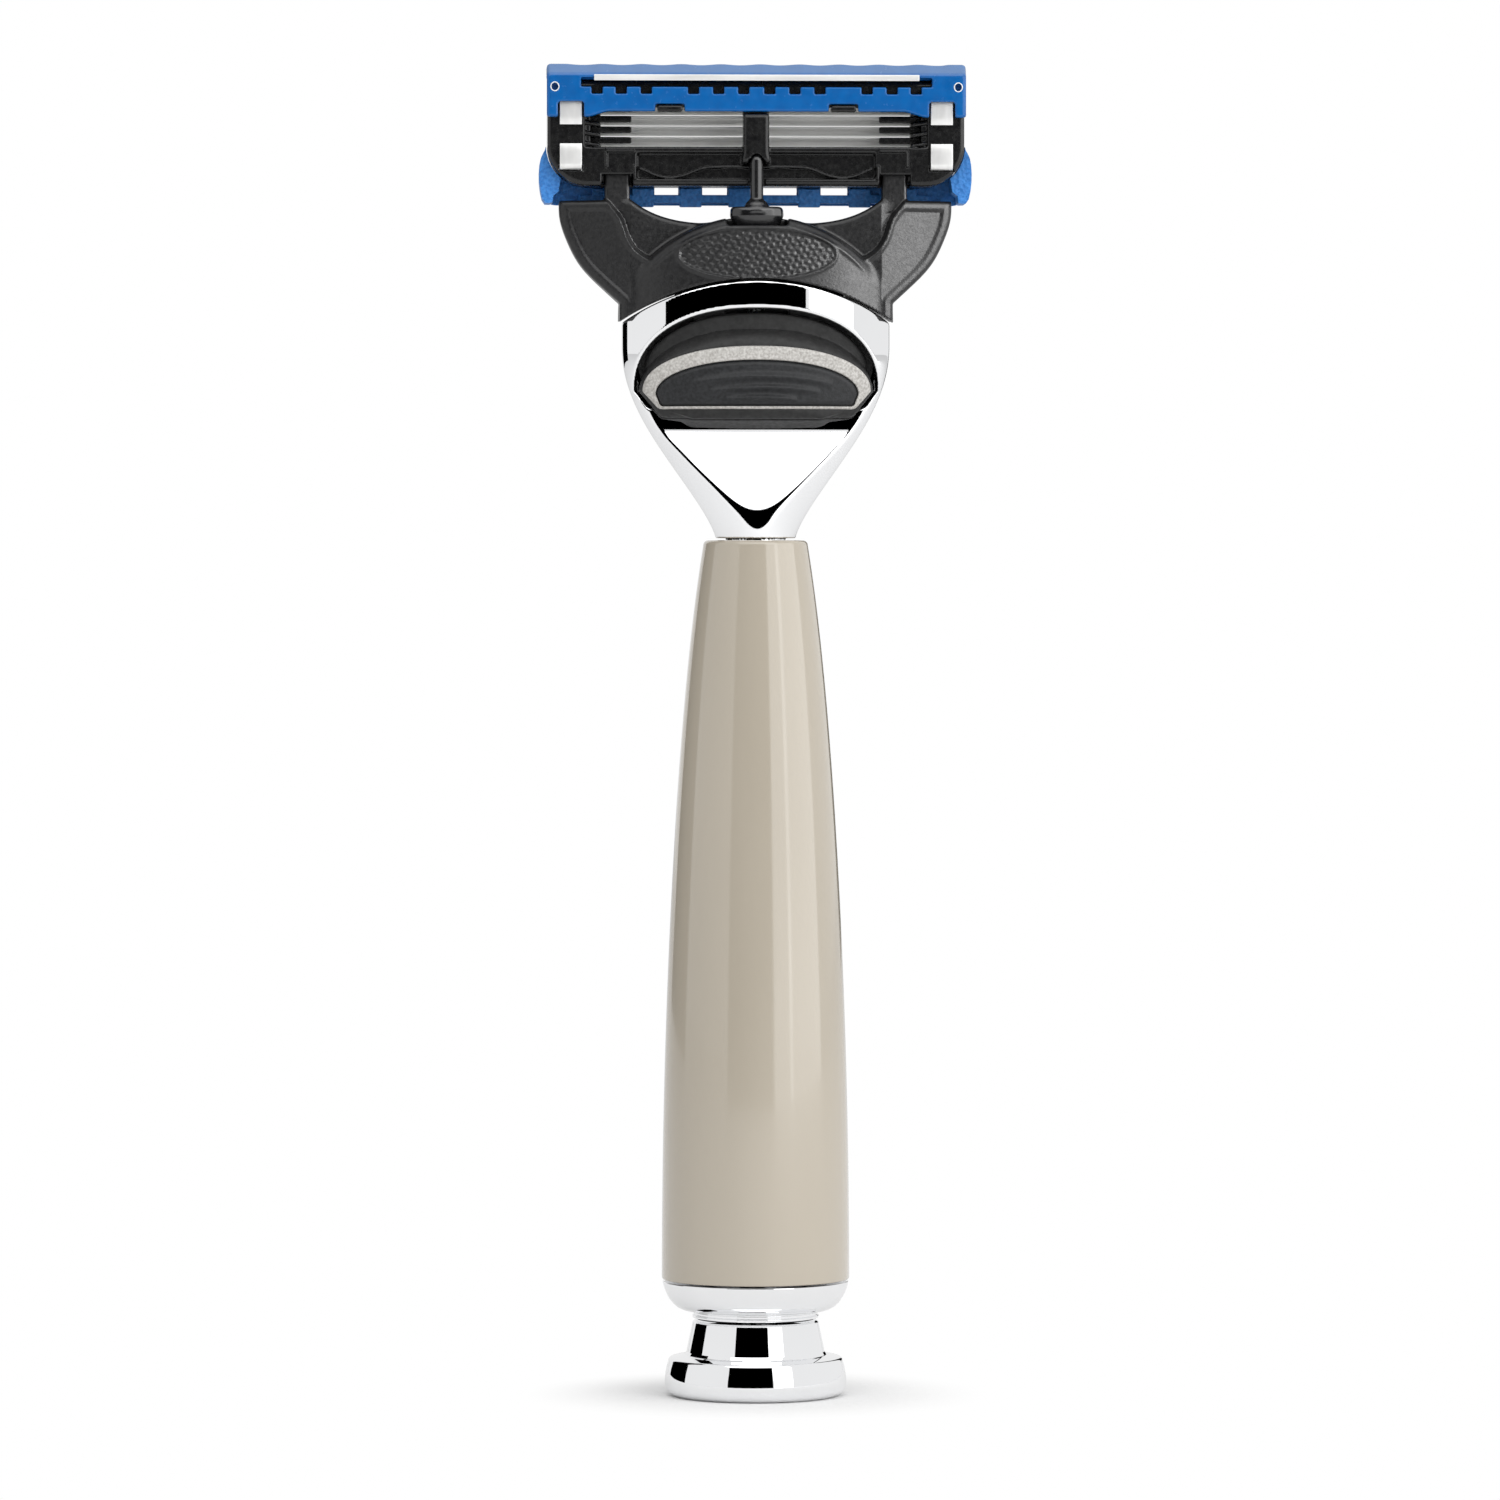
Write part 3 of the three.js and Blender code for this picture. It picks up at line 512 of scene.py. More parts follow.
def plunger_field(x, y, z):
    v = y - PLUNGER_Y
    swell = 1 - 0.16 * np.maximum(118.0 - z, 0) ** 1.2 - 0.05 * np.maximum(z - 118.0, 0) ** 2
    facets = np.maximum(np.abs(x) * 0.62 + np.abs(v) * 1.1, np.abs(x) * 0.93 + np.abs(v) * 0.2)
    round_one = ellipse(x, v, 2.75 * swell, 1.4 * swell)
    flange = smax(smax(round_one, facets - 2.5 * swell, 0.15), slab(z, 116.6, 118.9), 0.4)
    collar = smax(disc(x, v, 1.35 - 0.5 * (z - 118.7)), slab(z, 118.4, 119.5), 0.3)
    pin = np.sqrt(x * x + v * v + np.maximum(z - 123.45, 0) ** 2) - 0.65
    pin = smax(pin, 118 - z, 0.1)
    stem = smax(disc(x, v, 0.75), slab(z, 112.6, 117.6), 0.15)
    return smin(smin(smin(flange, collar, 0.2), pin, 0.35), stem, 0.1)


def plunger():
    return moulded("plunger_moulding", plunger_field, (-3.1, -4.4, 112.3), (3.1, -1.0, 124.4), 0.1)


# ------------------------------------------------------------------------------------------ yoke

ARM_FLANK = [(13.65, 109.3), (15.4, 110.9), (17.65, 113.3), (18.9, 115.7), (19.6, 118), (19.65, 119.6)]
ARM_OUTER = spline(ARM_FLANK, 40)
ARM_INNER = spline([(12.4, 119.6), (11.2, 118.8), (9.4, 118), (6.4, 117.4), (4, 117.3)], 20)
ARM_OUTLINE = [(13.65, 104.0), *ARM_OUTER, *ARM_INNER, (-4, 117.3), (-4, 104.0)]
WEB_SIDE = [(15.2, 121.5), (15.1, 119.8), (13.7, 117.7), (13.1, 116.0)]
WEB_FOOT = [(12.5, 114.9), (11.4, 113.9), (10.0, 113.3)]
WEB_EDGE = spline(WEB_SIDE + WEB_FOOT, 26)
WEB = [*WEB_EDGE, (-4, 112.8), (-4, 125), (15.2, 125)]
OVAL = {"z": 114.1, "half": 7.9, "height": 2.6}
HUB_HALF = 13.65
HUB_WALL = 0.9
SLOT_HALF = 3.05  # the slot for the plunger
ARM_SLOPE_FROM, ARM_SLOPE = 12.5, 0.36


def yoke_tab(ax, y, z):
    shank = smax(slab(y, -1.25, 1.25), slab(z, 118.6, PIVOT_Z), 0.1)
    profile = np.minimum(disc(y, z - PIVOT_Z, 1.25), shank)
    tab = smax(profile, slab(ax, 12.6, 15.1), 0.35)
    stub = smax(disc(y, z - PIVOT_Z, 0.7), slab(ax, 14.6, 16.1), 0.2)
    return smin(tab, stub, 0.1)


def pebbles(x, z):
    """An even, irregular grain: waves crossing at odd angles."""
    waves = [(8.3, 6.2), (-7.1, 9.4), (11.2, -3.1), (2.3, 11.9), (4.9, -7.7)]
    return 0.018 * sum(np.sin(a * x + b * z + a) for a, b in waves)


def yoke_field(x, y, z):
    ax = np.abs(x)
    depth = 5.45 - 0.3 * ((z - 107) / 11) ** 2
    oval = ellipse(x, z - OVAL["z"], OVAL["half"], OVAL["height"])
    rim = 0.13 * np.exp(-((oval / 0.2) ** 2)) - (0.1 + pebbles(x, z)) * step(0.0, -0.3, oval)
    crown = arch(x, z, DOME_CENTRE, DOME_RADIUS)
    rim = rim + 0.12 * np.exp(-(((crown + 0.85) / 0.22) ** 2))
    hub = ellipse(x, y, HUB_HALF, depth) - rim * step(-3.0, -4.0, y)
    hub = smax(hub, crown, 1.1)
    outline = polygon(ax, z, ARM_OUTLINE)
    web = polygon(ax, z, WEB)
    sunk = 1.15 * step(0.0, -0.5, web)
    panel = 0.14 * step(-0.75, -1.2, outline) * step(0.1, 0.5, web)
    slope = ARM_SLOPE * np.maximum(ax - ARM_SLOPE_FROM, 0)
    arm = smax(outline, slab(y, -2.7 + sunk + panel + slope, 2.1), 0.6)
    body = smin(smin(hub, arm, 0.45), yoke_tab(ax, y, z), 0.3)
    body = smax(body, RIM_RADIUS + 0.2 - np.sqrt(x * x + (z - RIM_CENTRE) ** 2), 0.12)
    roof = arch(x, z, DOME_CENTRE, DOME_RADIUS - HUB_WALL)
    socket = smax(np.maximum(ax - 8.9, slab(y, -4.35, 3.4)), roof, 0.3)
    socket = smax(socket, ellipse(x, y, HUB_HALF - HUB_WALL, depth - HUB_WALL), 0.3)
    body = smax(body, -socket, 0.15)
    front_slot = block(x, y, z, (-SLOT_HALF, SLOT_HALF), (-4.35, -1.3), (112, 125), 0.3)
    notch = block(x, y, z, (-SLOT_HALF, SLOT_HALF), (-9, -1.3), (116.95, 125), 0.3)
    return smax(body, -np.minimum(front_slot, notch), 0.25)


def yoke():
    return moulded("yoke_moulding", yoke_field, (-19.9, -5.8, 103.0), (19.9, 5.8, 123.6), 0.18)


# ------------------------------------------------------------------------------------------ cartridge

FRAME_HALF = 20.8
FRAME_HEIGHTS = (121, 131.4)
FRAME_DEPTHS = (-2, 3.2)
CLIP_SIDES = (17.4, 19.6)
CLIP_THICKNESS, CLIP_EDGE = 0.24, 0.06
TURN_SAMPLES = range(0, 41, 8)  # degrees of the cartridge's turn at which its clearances are cut


def panel_outline(x, z, half, base, top, low_radius, high_radius):
    ax = np.abs(x)
    radius = np.where(z > (base + top) / 2, high_radius, low_radius)
    qx = ax - half + radius
    qz = np.abs(z - (base + top) / 2) - (top - base) / 2 + radius
    outside = np.sqrt(np.maximum(qx, 0) ** 2 + np.maximum(qz, 0) ** 2)
    return outside + np.minimum(np.maximum(qx, qz), 0) - radius


def tab_room(ax, y, z):
    """Room for a yoke tab through the cartridge's whole turn."""
    u, v = y, z - PIVOT_Z
    radius = 1.55
    best = disc(u, v, radius)
    for degrees in TURN_SAMPLES:
        a = math.radians(degrees)
        across, along = u * math.cos(a) - v * math.sin(a), u * math.sin(a) + v * math.cos(a)
        best = np.minimum(best, np.maximum(np.abs(across) - radius, np.maximum(along, -6 - along)))
    room = np.maximum(best, slab(ax, 12.3, 15.4))
    return np.minimum(room, np.maximum(disc(u, v, 0.8), slab(ax, 15.1, 16.4)))


def pin_room(x, y, z):
    """Room for the plunger's pin, which drops as the cartridge turns."""
    best = None
    for degrees in TURN_SAMPLES:
        a = math.radians(degrees)
        across = y * math.cos(a) - (z - PIVOT_Z) * math.sin(a)
        along = y * math.sin(a) + (z - PIVOT_Z) * math.cos(a)
        above = np.maximum(along - 1.5 + PLUNGER_DROP * a, 0)
        room = np.sqrt(x * x + (across - PLUNGER_Y) ** 2 + above**2) - 0.8
        best = room if best is None else np.minimum(best, room)
    return best


RIB_INNER = [(0, 122.9), (4.2, 122.9), (5.4, 122.75), (7.1, 122.1), (8.6, 121.85)]
RIB_OUTER = [(10.1, 122.1), (11.6, 122.75), (12.6, 122.9), (14, 122.9)]
RIB_X, RIB_Z = (np.array(c) for c in zip(*spline(RIB_INNER + RIB_OUTER, 400)))


def frame_relief(x, y, z):
    """Ribs, ledges and snap tabs on the frame's back."""
    ax = np.abs(x)
    line = np.interp(ax, RIB_X, RIB_Z)
    rib = smax(smax(np.abs(z - line) - 0.13, slab(y, -1.75, -0.9), 0.12), ax - 11.7, 0.1)
    ledge = block(ax, y, z, (1.3, 11.8), (-1.5, -0.9), (124.05, 124.4), 0.1)
    shelf = block(ax, y, z, (1.3, 4.4), (-1.9, -0.9), (124.3, 124.75), 0.12)
    post = block(ax, y, z, (14.9, 15.2), (-2.2, -1.5), (122.9, 124.5), 0.12)
    beam = block(ax, y, z, (12.2, 15.1), (-2.25, -1.5), (124.35, 124.65), 0.12)
    snap = block(ax, y, z, (7.4, 9.9), (-3.32, -1.8), (128.3, 128.95), 0.2)
    stop = block(ax, y, z, (12.0, 12.3), (-2.15, -1.0), (121.6, 123.0), 0.1)
    parts = [rib, ledge, shelf, post, beam, snap, stop]
    return np.minimum.reduce(np.broadcast_arrays(*parts))


def comb(ax, y, z):
    """Fingers at the bay's ends that hold the blades, sloping down towards the middle."""
    made = None
    for i in range(5):
        line = BLADE_Z + 0.98 + i * BLADE_PITCH + (ax - 16.0) * 0.16
        finger = smax(np.abs(z - line) - 0.2, smax(15.5 - ax, slab(y, -1.5, 1.6), 0.2), 0.18)
        made = finger if made is None else np.minimum(made, finger)
    for i in range(5):
        top = BLADE_Z + 0.8 + i * BLADE_PITCH
        made = np.minimum(made, block(ax, y, z, (12.4, 16.6), (0.1, 0.95), (top - 0.62, top), 0.1))
    return np.maximum(made, ax - 17.2)


def frame_field(x, y, z):
    ax = np.abs(x)
    body = smax(panel_outline(x, z, FRAME_HALF, *FRAME_HEIGHTS, 4, 1), slab(y, *FRAME_DEPTHS), 0.5)
    bay = smax(ax - 16.5, slab(z, 124.9, 128.8), 0.3)
    body = smax(body, -bay, 0.25)
    pocket = smax(smax(ax - 18.7, slab(z, 123.5, 129.6), 0.3), -0.5 - y, 0.2)
    body = smax(body, -pocket, 0.15)
    recess = smax(smax(ax - 11.9, slab(z, 121.7, 124.3), 0.3), y + 1.2, 0.15)
    body = smax(body, -recess, 0.2)
    side_well = block(ax, y, z, (15.5, 17.1), (-9, -1.2), (124.9, 128.6), 0.2)
    body = smax(body, -side_well, 0.2)
    body = np.minimum(body, frame_relief(x, y, z))
    body = smin(body, comb(ax, y, z), 0.1)
    hood_half = 1.3 + 0.12 * step(124.4, 123.6, z)
    hood = smax(np.abs(x + 0.05) - hood_half, slab(z, 123.2, 128.15), 0.3)
    hood = smax(hood, slab(y, -3.3, -0.9), 0.5)
    riser = block(x, y, z, (-1.35, 1.25), (-1.9, -0.9), (128, 129.2), 0.15)
    body = smin(body, np.minimum(hood, riser), 0.15)
    pin_slot = smax(np.abs(x) - 0.85, np.maximum(slab(y, -9, -1.9), z - 123.55), 0.1)
    body = smax(body, -np.minimum(pin_room(x, y, z), pin_slot), 0.12)
    body = smax(body, -tab_room(ax, y, z), 0.2)
    slot_x = slab(ax, 17.3, 19.7)
    high_slot = np.maximum(slot_x, slab(z, 129.4, 129.85))
    low_slot = np.maximum(slot_x, slab(z, 122.5, 122.95))
    return smax(body, -np.minimum(high_slot, low_slot), 0.1)


def cartridge_frame():
    return moulded("cartridge_frame_moulding", frame_field, (-21.1, -3.6, 120.7), (21.1, 3.5, 131.7), 0.15)


CARRIER_HALF = 20.9
CARRIER_INSIDE = [(-3.1, 127.4), (-2.15, 127.4), (-2.15, 131.55), (1.2, 131.55)]
CARRIER_OUTSIDE = [(1.2, 133.1), (-2.2, 133.1), (-2.95, 132.15), (-3.1, 131.9)]
CARRIER_SECTION = CARRIER_INSIDE + CARRIER_OUTSIDE
SCALLOP_PITCH, SCALLOP_DEPTH = 3.93, 0.1
NOTCH_CENTRES = [1.3, 3.8, 6.3, 11.0, 13.5, 15.9]
NOTCH_HALF = 0.55
EYELET_X, EYELET_Z = 20.1, 130.8


def carrier_field(x, y, z):
    ax = np.abs(x)
    scallop = SCALLOP_DEPTH * (0.5 - 0.5 * np.cos(2 * np.pi * (x - 0.4) / SCALLOP_PITCH))
    scallop = scallop * step(132.4, 132.9, z) * step(19.4, 18.4, ax)
    body = smax(polygon(y, z + scallop, CARRIER_SECTION), ax - CARRIER_HALF, 0.45)
    edge = 128.35 - 0.55 * step(14.6, 17.0, ax)
    body = smax(body, np.where(y < -2.0, edge - z, 128.2 - z), 0.25)
    cuts = smax(smax(ax - 17.5, slab(z, 130.8, 131.7), 0.2), y + 2.05, 0.05)
    for centre in NOTCH_CENTRES:
        notch_sides = (centre - NOTCH_HALF, centre + NOTCH_HALF)
        cuts = np.minimum(cuts, block(ax, y, z, notch_sides, (-9, -2.05), (130.1, 131.2), 0.12))
    cuts = np.minimum(cuts, block(ax, y, z, (17.2, 19.8), (-9, 0), (120, 129.3), 0.25))
    cuts = np.minimum(cuts, block(ax, y, z, (17.2, 19.8), (-2.9, 0), (120, 129.9), 0.1))
    cuts = np.minimum(cuts, block(ax, y, z, (7.2, 10.1), (-9, -1.0), (120, 129.08), 0.15))
    corner_hole = np.maximum(disc(ax - EYELET_X, z - EYELET_Z, 0.34), y + 2.4)
    return smax(body, -np.minimum(cuts, corner_hole), 0.16)


def trimmer_carrier():
    return moulded("trimmer_carrier_moulding", carrier_field, (-21.2, -3.4, 127.2), (21.2, 1.5, 133.4), 0.14)


def eyelet(side):
    """The bright ring round the small hole at a corner of the carrier."""
    ring_radius, wire = 0.4, 0.06
    points, normals, faces = [], [], []
    turns, sides = 36, 10
    for i in range(turns):
        a = 2 * math.pi * i / turns
        for j in range(sides):
            b = 2 * math.pi * j / sides
            nx, ny, nz = math.cos(b) * math.cos(a), -math.sin(b), math.cos(b) * math.sin(a)
            middle_x = side * EYELET_X + ring_radius * math.cos(a)
            middle_z = EYELET_Z + ring_radius * math.sin(a) * 1.1
            points.append((middle_x + wire * nx, -3.06 + wire * ny, middle_z + wire * nz))
            normals.append((nx, ny, nz))
            k, m = (i + 1) % turns, (j + 1) % sides
            faces.append((i * sides + j, k * sides + j, k * sides + m, i * sides + m))
    return mesh_object("corner_eyelet_right" if side > 0 else "corner_eyelet_left", points, normals, faces)


def clip_band(name, path, xs):
    """A metal strip bent along a path in Y and Z, with its edges rolled off."""
    thickness, bulge = CLIP_THICKNESS, CLIP_EDGE
    p = np.array(path)
    tangent = np.gradient(p, axis=0)
    tangent /= np.linalg.norm(tangent, axis=1, keepdims=True)
    side = np.stack([-tangent[:, 1], tangent[:, 0]], 1)
    half, mid = (xs[1] - xs[0]) / 2, (xs[0] + xs[1]) / 2
    section = []
    for cx, cn in ((half - bulge, 1), (-half + bulge, 1), (-half + bulge, -1), (half - bulge, -1)):
        start = {(True, 1): 0, (False, 1): 90, (False, -1): 180, (True, -1): 270}[(cx > 0, cn)]
        for a in np.radians(np.linspace(start, start + 90, 5)):
            offset = cn * (thickness / 2 - bulge)
            section.append((cx + bulge * math.cos(a), offset + bulge * math.sin(a)))
    rows = [[(mid + sx, q[0] + s[0] * sn, q[1] + s[1] * sn) for sx, sn in section] for q, s in zip(p, side)]
    count = len(section)
    faces = [
        (i * count + j, i * count + (j + 1) % count, (i + 1) * count + (j + 1) % count, (i + 1) * count + j)
        for i in range(len(rows) - 1)
        for j in range(count)
    ]
    faces += [tuple(range(count))[::-1], tuple((len(rows) - 1) * count + j for j in range(count))]
    made = mesh_object(name, [q for row in rows for q in row], None, faces)
    made.data.set_sharp_from_angle(angle=math.radians(50))
    return made


def clip_path():
    """From the upper tail on the back, over the top, down the front, and back to the lower tail."""
    back, front, low, high, tail = -2.48, 3.48, 122.72, 129.63, 0.45
    path = [(back + 0.1, 127.1), (back + 0.02, 127.5), (back, 128.0), (back, high - tail - 0.3)]
    path += arc((back + tail, high - tail), tail, 180, 90, 8)
    path += [(0.5, high)] + arc((front - tail, high - tail), tail, 90, 0, 8)
    path += [(front, 126)] + arc((front - tail, low + tail), tail, 0, -90, 8)
    path += [(0.5, low)] + arc((back + tail, low + tail), tail, -90, -180, 8)
    return path + [(back, 123.6), (back, 124.3), (back + 0.02, 124.75), (back + 0.1, 125.15)]


# ------------------------------------------------------------------------------------------ materials

NOISE_DETAIL = 2.0
COLOUR_STOPS = (0.35, 0.65)  # where in a pattern the lower colour ends and the higher one starts
PATTERN_RANGE = (0.3, 0.7)  # most of a noise lies between these
COAT_ROUGHNESS = 0.04
EVEN = (1, 1, 1)
ALONG = (1, 1, 0.25)
ACROSS = (0.06, 1, 1)


def graph(name):
    made = bpy.data.materials.new(name)
    made.use_nodes = True
    return made, made.node_tree.nodes, made.node_tree.links, made.node_tree.nodes["Principled BSDF"]


def noise(nodes, links, scale, stretch, kind="noise"):
    """A pattern fixed to the part, with cells of about 1/scale metres."""
    where = nodes.new("ShaderNodeTexCoord")
    mapping = nodes.new("ShaderNodeMapping")
    mapping.inputs["Scale"].default_value = stretch
    links.new(where.outputs["Object"], mapping.inputs["Vector"])
    made = nodes.new("ShaderNodeTexVoronoi" if kind == "voronoi" else "ShaderNodeTexNoise")
    made.inputs["Scale"].default_value = scale
    if kind == "noise":
        made.inputs["Detail"].default_value = NOISE_DETAIL
    links.new(mapping.outputs["Vector"], made.inputs["Vector"])
    return made.outputs["Distance" if kind == "voronoi" else "Fac"]


def ramp(nodes, links, fac, low, high):
    """A colour that goes from low to high with the pattern."""
    made = nodes.new("ShaderNodeValToRGB")
    for stop, position, colour in zip(made.color_ramp.elements, COLOUR_STOPS, (low, high)):
        stop.position = position
        stop.color = (*colour, 1)
    links.new(fac, made.inputs["Fac"])
    return made.outputs["Color"]


def spread(nodes, links, fac, low, high):
    """A number that goes from low to high with the pattern."""
    made = nodes.new("ShaderNodeMapRange")
    made.inputs["From Min"].default_value, made.inputs["From Max"].default_value = PATTERN_RANGE
    made.inputs["To Min"].default_value, made.inputs["To Max"].default_value = low, high
    links.new(fac, made.inputs["Value"])
    return made.outputs["Result"]


def bump(nodes, links, bsdf, height, depth_mm):
    made = nodes.new("ShaderNodeBump")
    made.inputs["Distance"].default_value = depth_mm * MM
    made.inputs["Strength"].default_value = 1.0
    links.new(height, made.inputs["Height"])
    links.new(made.outputs["Normal"], bsdf.inputs["Normal"])


def finish_of(name, low, high, rough, scales, grain=None, metal=0.0, shine=0.5, coat=0.0, stretch=EVEN):
    """A finish whose colour and roughness wander between two values, with patterns of two scales, and an
    optional grain of (scale, depth in mm, kind)."""
    made, nodes, links, bsdf = graph(name)
    bsdf.inputs["Metallic"].default_value = metal
    bsdf.inputs["Specular IOR Level"].default_value = shine
    bsdf.inputs["Coat Weight"].default_value = coat
    bsdf.inputs["Coat Roughness"].default_value = COAT_ROUGHNESS
    colour_pattern, gloss_pattern = (noise(nodes, links, scale, stretch) for scale in scales)
    links.new(ramp(nodes, links, colour_pattern, low, high), bsdf.inputs["Base Color"])
    links.new(spread(nodes, links, gloss_pattern, *rough), bsdf.inputs["Roughness"])
    if grain:
        scale, depth, kind = grain
        bump(nodes, links, bsdf, noise(nodes, links, scale, stretch, kind), depth)
    return made


CHROME = finish_of(
    "plated_chrome",
    low=(0.9, 0.905, 0.915),
    high=(0.925, 0.93, 0.94),
    rough=(0.012, 0.03),
    scales=(90, 500),
    metal=1.0,
)
RESIN = finish_of(
    "cast_resin",
    low=(0.37, 0.33, 0.268),
    high=(0.4, 0.358, 0.294),
    rough=(0.1, 0.16),
    scales=(60, 300),
    grain=(120, 0.004, "noise"),
    coat=0.6,
    stretch=ALONG,
)
BLACK = finish_of(
    "black_moulding",
    low=(0.004, 0.004, 0.0045),
    high=(0.009, 0.009, 0.0095),
    rough=(0.28, 0.4),
    scales=(2600, 3000),
    grain=(4200, 0.02, "noise"),
)
GLOSS_BLACK = finish_of(
    "polished_black",
    low=(0.006, 0.006, 0.0065),
    high=(0.012, 0.012, 0.013),
    rough=(0.14, 0.22),
    scales=(900, 1500),
    grain=(1500, 0.01, "noise"),
    shine=0.8,
)
FRAME_BLACK = finish_of(
    "frame_black",
    low=(0.004, 0.004, 0.0045),
    high=(0.009, 0.009, 0.009),
    rough=(0.2, 0.3),
    scales=(1500, 2500),
    grain=(2600, 0.006, "noise"),
    shine=0.45,
)
GREY = finish_of(
    "grey_ring_plastic",
    low=(0.31, 0.297, 0.277),
    high=(0.49, 0.478, 0.456),
    rough=(0.5, 0.7),
    scales=(4200, 3000),
    grain=(5000, 0.02, "noise"),
)
RUBBER = finish_of(
    "pad_rubber",
    low=(0.008, 0.0085, 0.0095),
    high=(0.018, 0.019, 0.021),
    rough=(0.42, 0.56),
    scales=(3000, 3000),
    grain=(5200, 0.02, "noise"),
    shine=0.35,
)
SHELL_BLACK = finish_of(
    "button_black",
    low=(0.005, 0.005, 0.005),
    high=(0.012, 0.012, 0.012),
    rough=(0.56, 0.7),
    scales=(1200, 2600),
    grain=(4000, 0.012, "noise"),
)
SPRING = finish_of(
    "spring_wire",
    low=(0.5, 0.51, 0.52),
    high=(0.62, 0.63, 0.64),
    rough=(0.2, 0.35),
    scales=(2500, 4000),
    metal=1.0,
)
STEEL = finish_of(
    "ground_steel",
    low=(0.78, 0.78, 0.765),
    high=(0.84, 0.84, 0.825),
    rough=(0.3, 0.4),
    scales=(2500, 3500),
    metal=0.45,
    stretch=ACROSS,
)
CLIP_STEEL = finish_of(
    "clip_sheet",
    low=(0.78, 0.78, 0.77),
    high=(0.84, 0.84, 0.83),
    rough=(0.28, 0.34),
    scales=(1800, 2500),
    metal=0.5,
    stretch=ALONG,
)
BLUE = finish_of(
    "blue_moulding",
    low=(0.0, 0.085, 0.3),
    high=(0.0, 0.1, 0.34),
    rough=(0.18, 0.28),
    scales=(900, 1600),
    grain=(1800, 0.008, "noise"),
    shine=0.4,
)
BLUE_RUBBER = finish_of(
    "blue_rubber",
    low=(0.008, 0.13, 0.42),
    high=(0.03, 0.2, 0.56),
    rough=(0.4, 0.62),
    scales=(3000, 3000),
    grain=(2600, 0.07, "voronoi"),
)
GEL = finish_of(
    "strip_gel",
    low=(0.55, 0.68, 0.78),
    high=(0.68, 0.78, 0.86),
    rough=(0.35, 0.55),
    scales=(1500, 2500),
    grain=(3000, 0.02, "noise"),
)


def paint_top_highlight(material, heights, colour, share):
    """Paints a highlight into a finish's colour: lightens it between two heights, where the top edge faces
    the light from above.
    """
    nodes, links = material.node_tree.nodes, material.node_tree.links
    base = nodes["Principled BSDF"].inputs["Base Color"]
    where, split, rise = (nodes.new(f"ShaderNode{k}") for k in ("TexCoord", "SeparateXYZ", "MapRange"))
    rise.inputs["From Min"].default_value, rise.inputs["From Max"].default_value = (h * MM for h in heights)
    rise.inputs["To Max"].default_value = share
    mix = nodes.new("ShaderNodeMixRGB")
    mix.inputs["Color2"].default_value = (*colour, 1)
    links.new(where.outputs["Object"], split.inputs["Vector"])
    links.new(split.outputs["Z"], rise.inputs["Value"])
    links.new(rise.outputs["Result"], mix.inputs["Fac"])
    links.new(base.links[0].from_socket, mix.inputs["Color1"])
    links.new(mix.outputs["Color"], base)


# Painted highlight: the blue mouldings' colour is lightened along the top bevel, where light from above
# catches it.
paint_top_highlight(BLUE, (131.9, 132.3), (0.17, 0.24, 0.36), 0.6)


def dress(piece, material):
    piece.data.materials.clear()
    piece.data.materials.append(material)


def place(piece, body, slot, material, *nodes):
    dress(piece, material)
    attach(piece, body)
    if nodes:
        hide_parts(*nodes)
    return piece


def keep(node, material, bevel=0.0):
    """A frame node that is shown as it is, with its edges broken."""
    piece = frame["nodes"][node]
    dress(piece, material)
    if bevel:
        weld = piece.modifiers.new("weld", "WELD")
        weld.merge_threshold = 0.002 * MM
        rounding = piece.modifiers.new("bevel", "BEVEL")
        rounding.width = bevel * MM
        rounding.segments = 2
        rounding.limit_method = "ANGLE"
        rounding.angle_limit = math.radians(35)
    return piece


# ------------------------------------------------------------------------------------------ assembly


def handle():
    place(foot(), "handle", "chrome", CHROME, "foot")
    place(foot_collar(), "handle", "chrome", CHROME, "foot_collar")
    place(handle_sleeve(), "handle", "resin", RESIN, "handle_sleeve")
    place(neck_casting(), "handle", "chrome", CHROME, "neck_casting")
    keep("tie_rod", SPRING, 0.2)
    keep("neck_insert", BLACK, 0.15)
    keep("ejector_spring", SPRING)
    keep("plunger_spring", SPRING)


def ejector():
    shell, ring, pad = button()
    place(shell, "ejector", "black_plastic", SHELL_BLACK, "button_shell")
    place(ring, "ejector", "grey_ring", GREY, "button_ring")
    place(pad, "ejector", "dark_rubber", RUBBER, "button_pad")
    keep("ejector_carriage", BLACK, 0.15)


def cartridge():
    place(cartridge_frame(), "cartridge", "black_plastic", FRAME_BLACK, "cartridge_frame")
    place(trimmer_carrier(), "cartridge", "blue_plastic", BLUE, "trimmer_carrier")
    for side, node in ((1, "clip_right"), (-1, "clip_left")):
        band = clip_band(node + "_band", clip_path(), sorted(side * x for x in CLIP_SIDES))
        place(band, "cartridge", "clip_metal", CLIP_STEEL, node)
        place(eyelet(side), "cartridge", "clip_metal", CLIP_STEEL)
    keep("trimmer_blade", STEEL, 0.05)
    keep("cap", BLUE, 0.25)
    keep("lubricating_strip", GEL, 0.15)
    keep("guard_bar", BLUE_RUBBER, 0.12)
    keep("guard_rubber", BLUE_RUBBER, 0.15)
    for i in range(1, 6):
        keep(f"blade_{i}", STEEL)
        keep(f"blade_support_{i}", STEEL, 0.04)


handle()
ejector()
place(plunger(), "plunger", "black_plastic", GLOSS_BLACK, "plunger")
place(yoke(), "yoke", "black_plastic", BLACK, "yoke")
cartridge()

# ------------------------------------------------------------------------------------------ studio

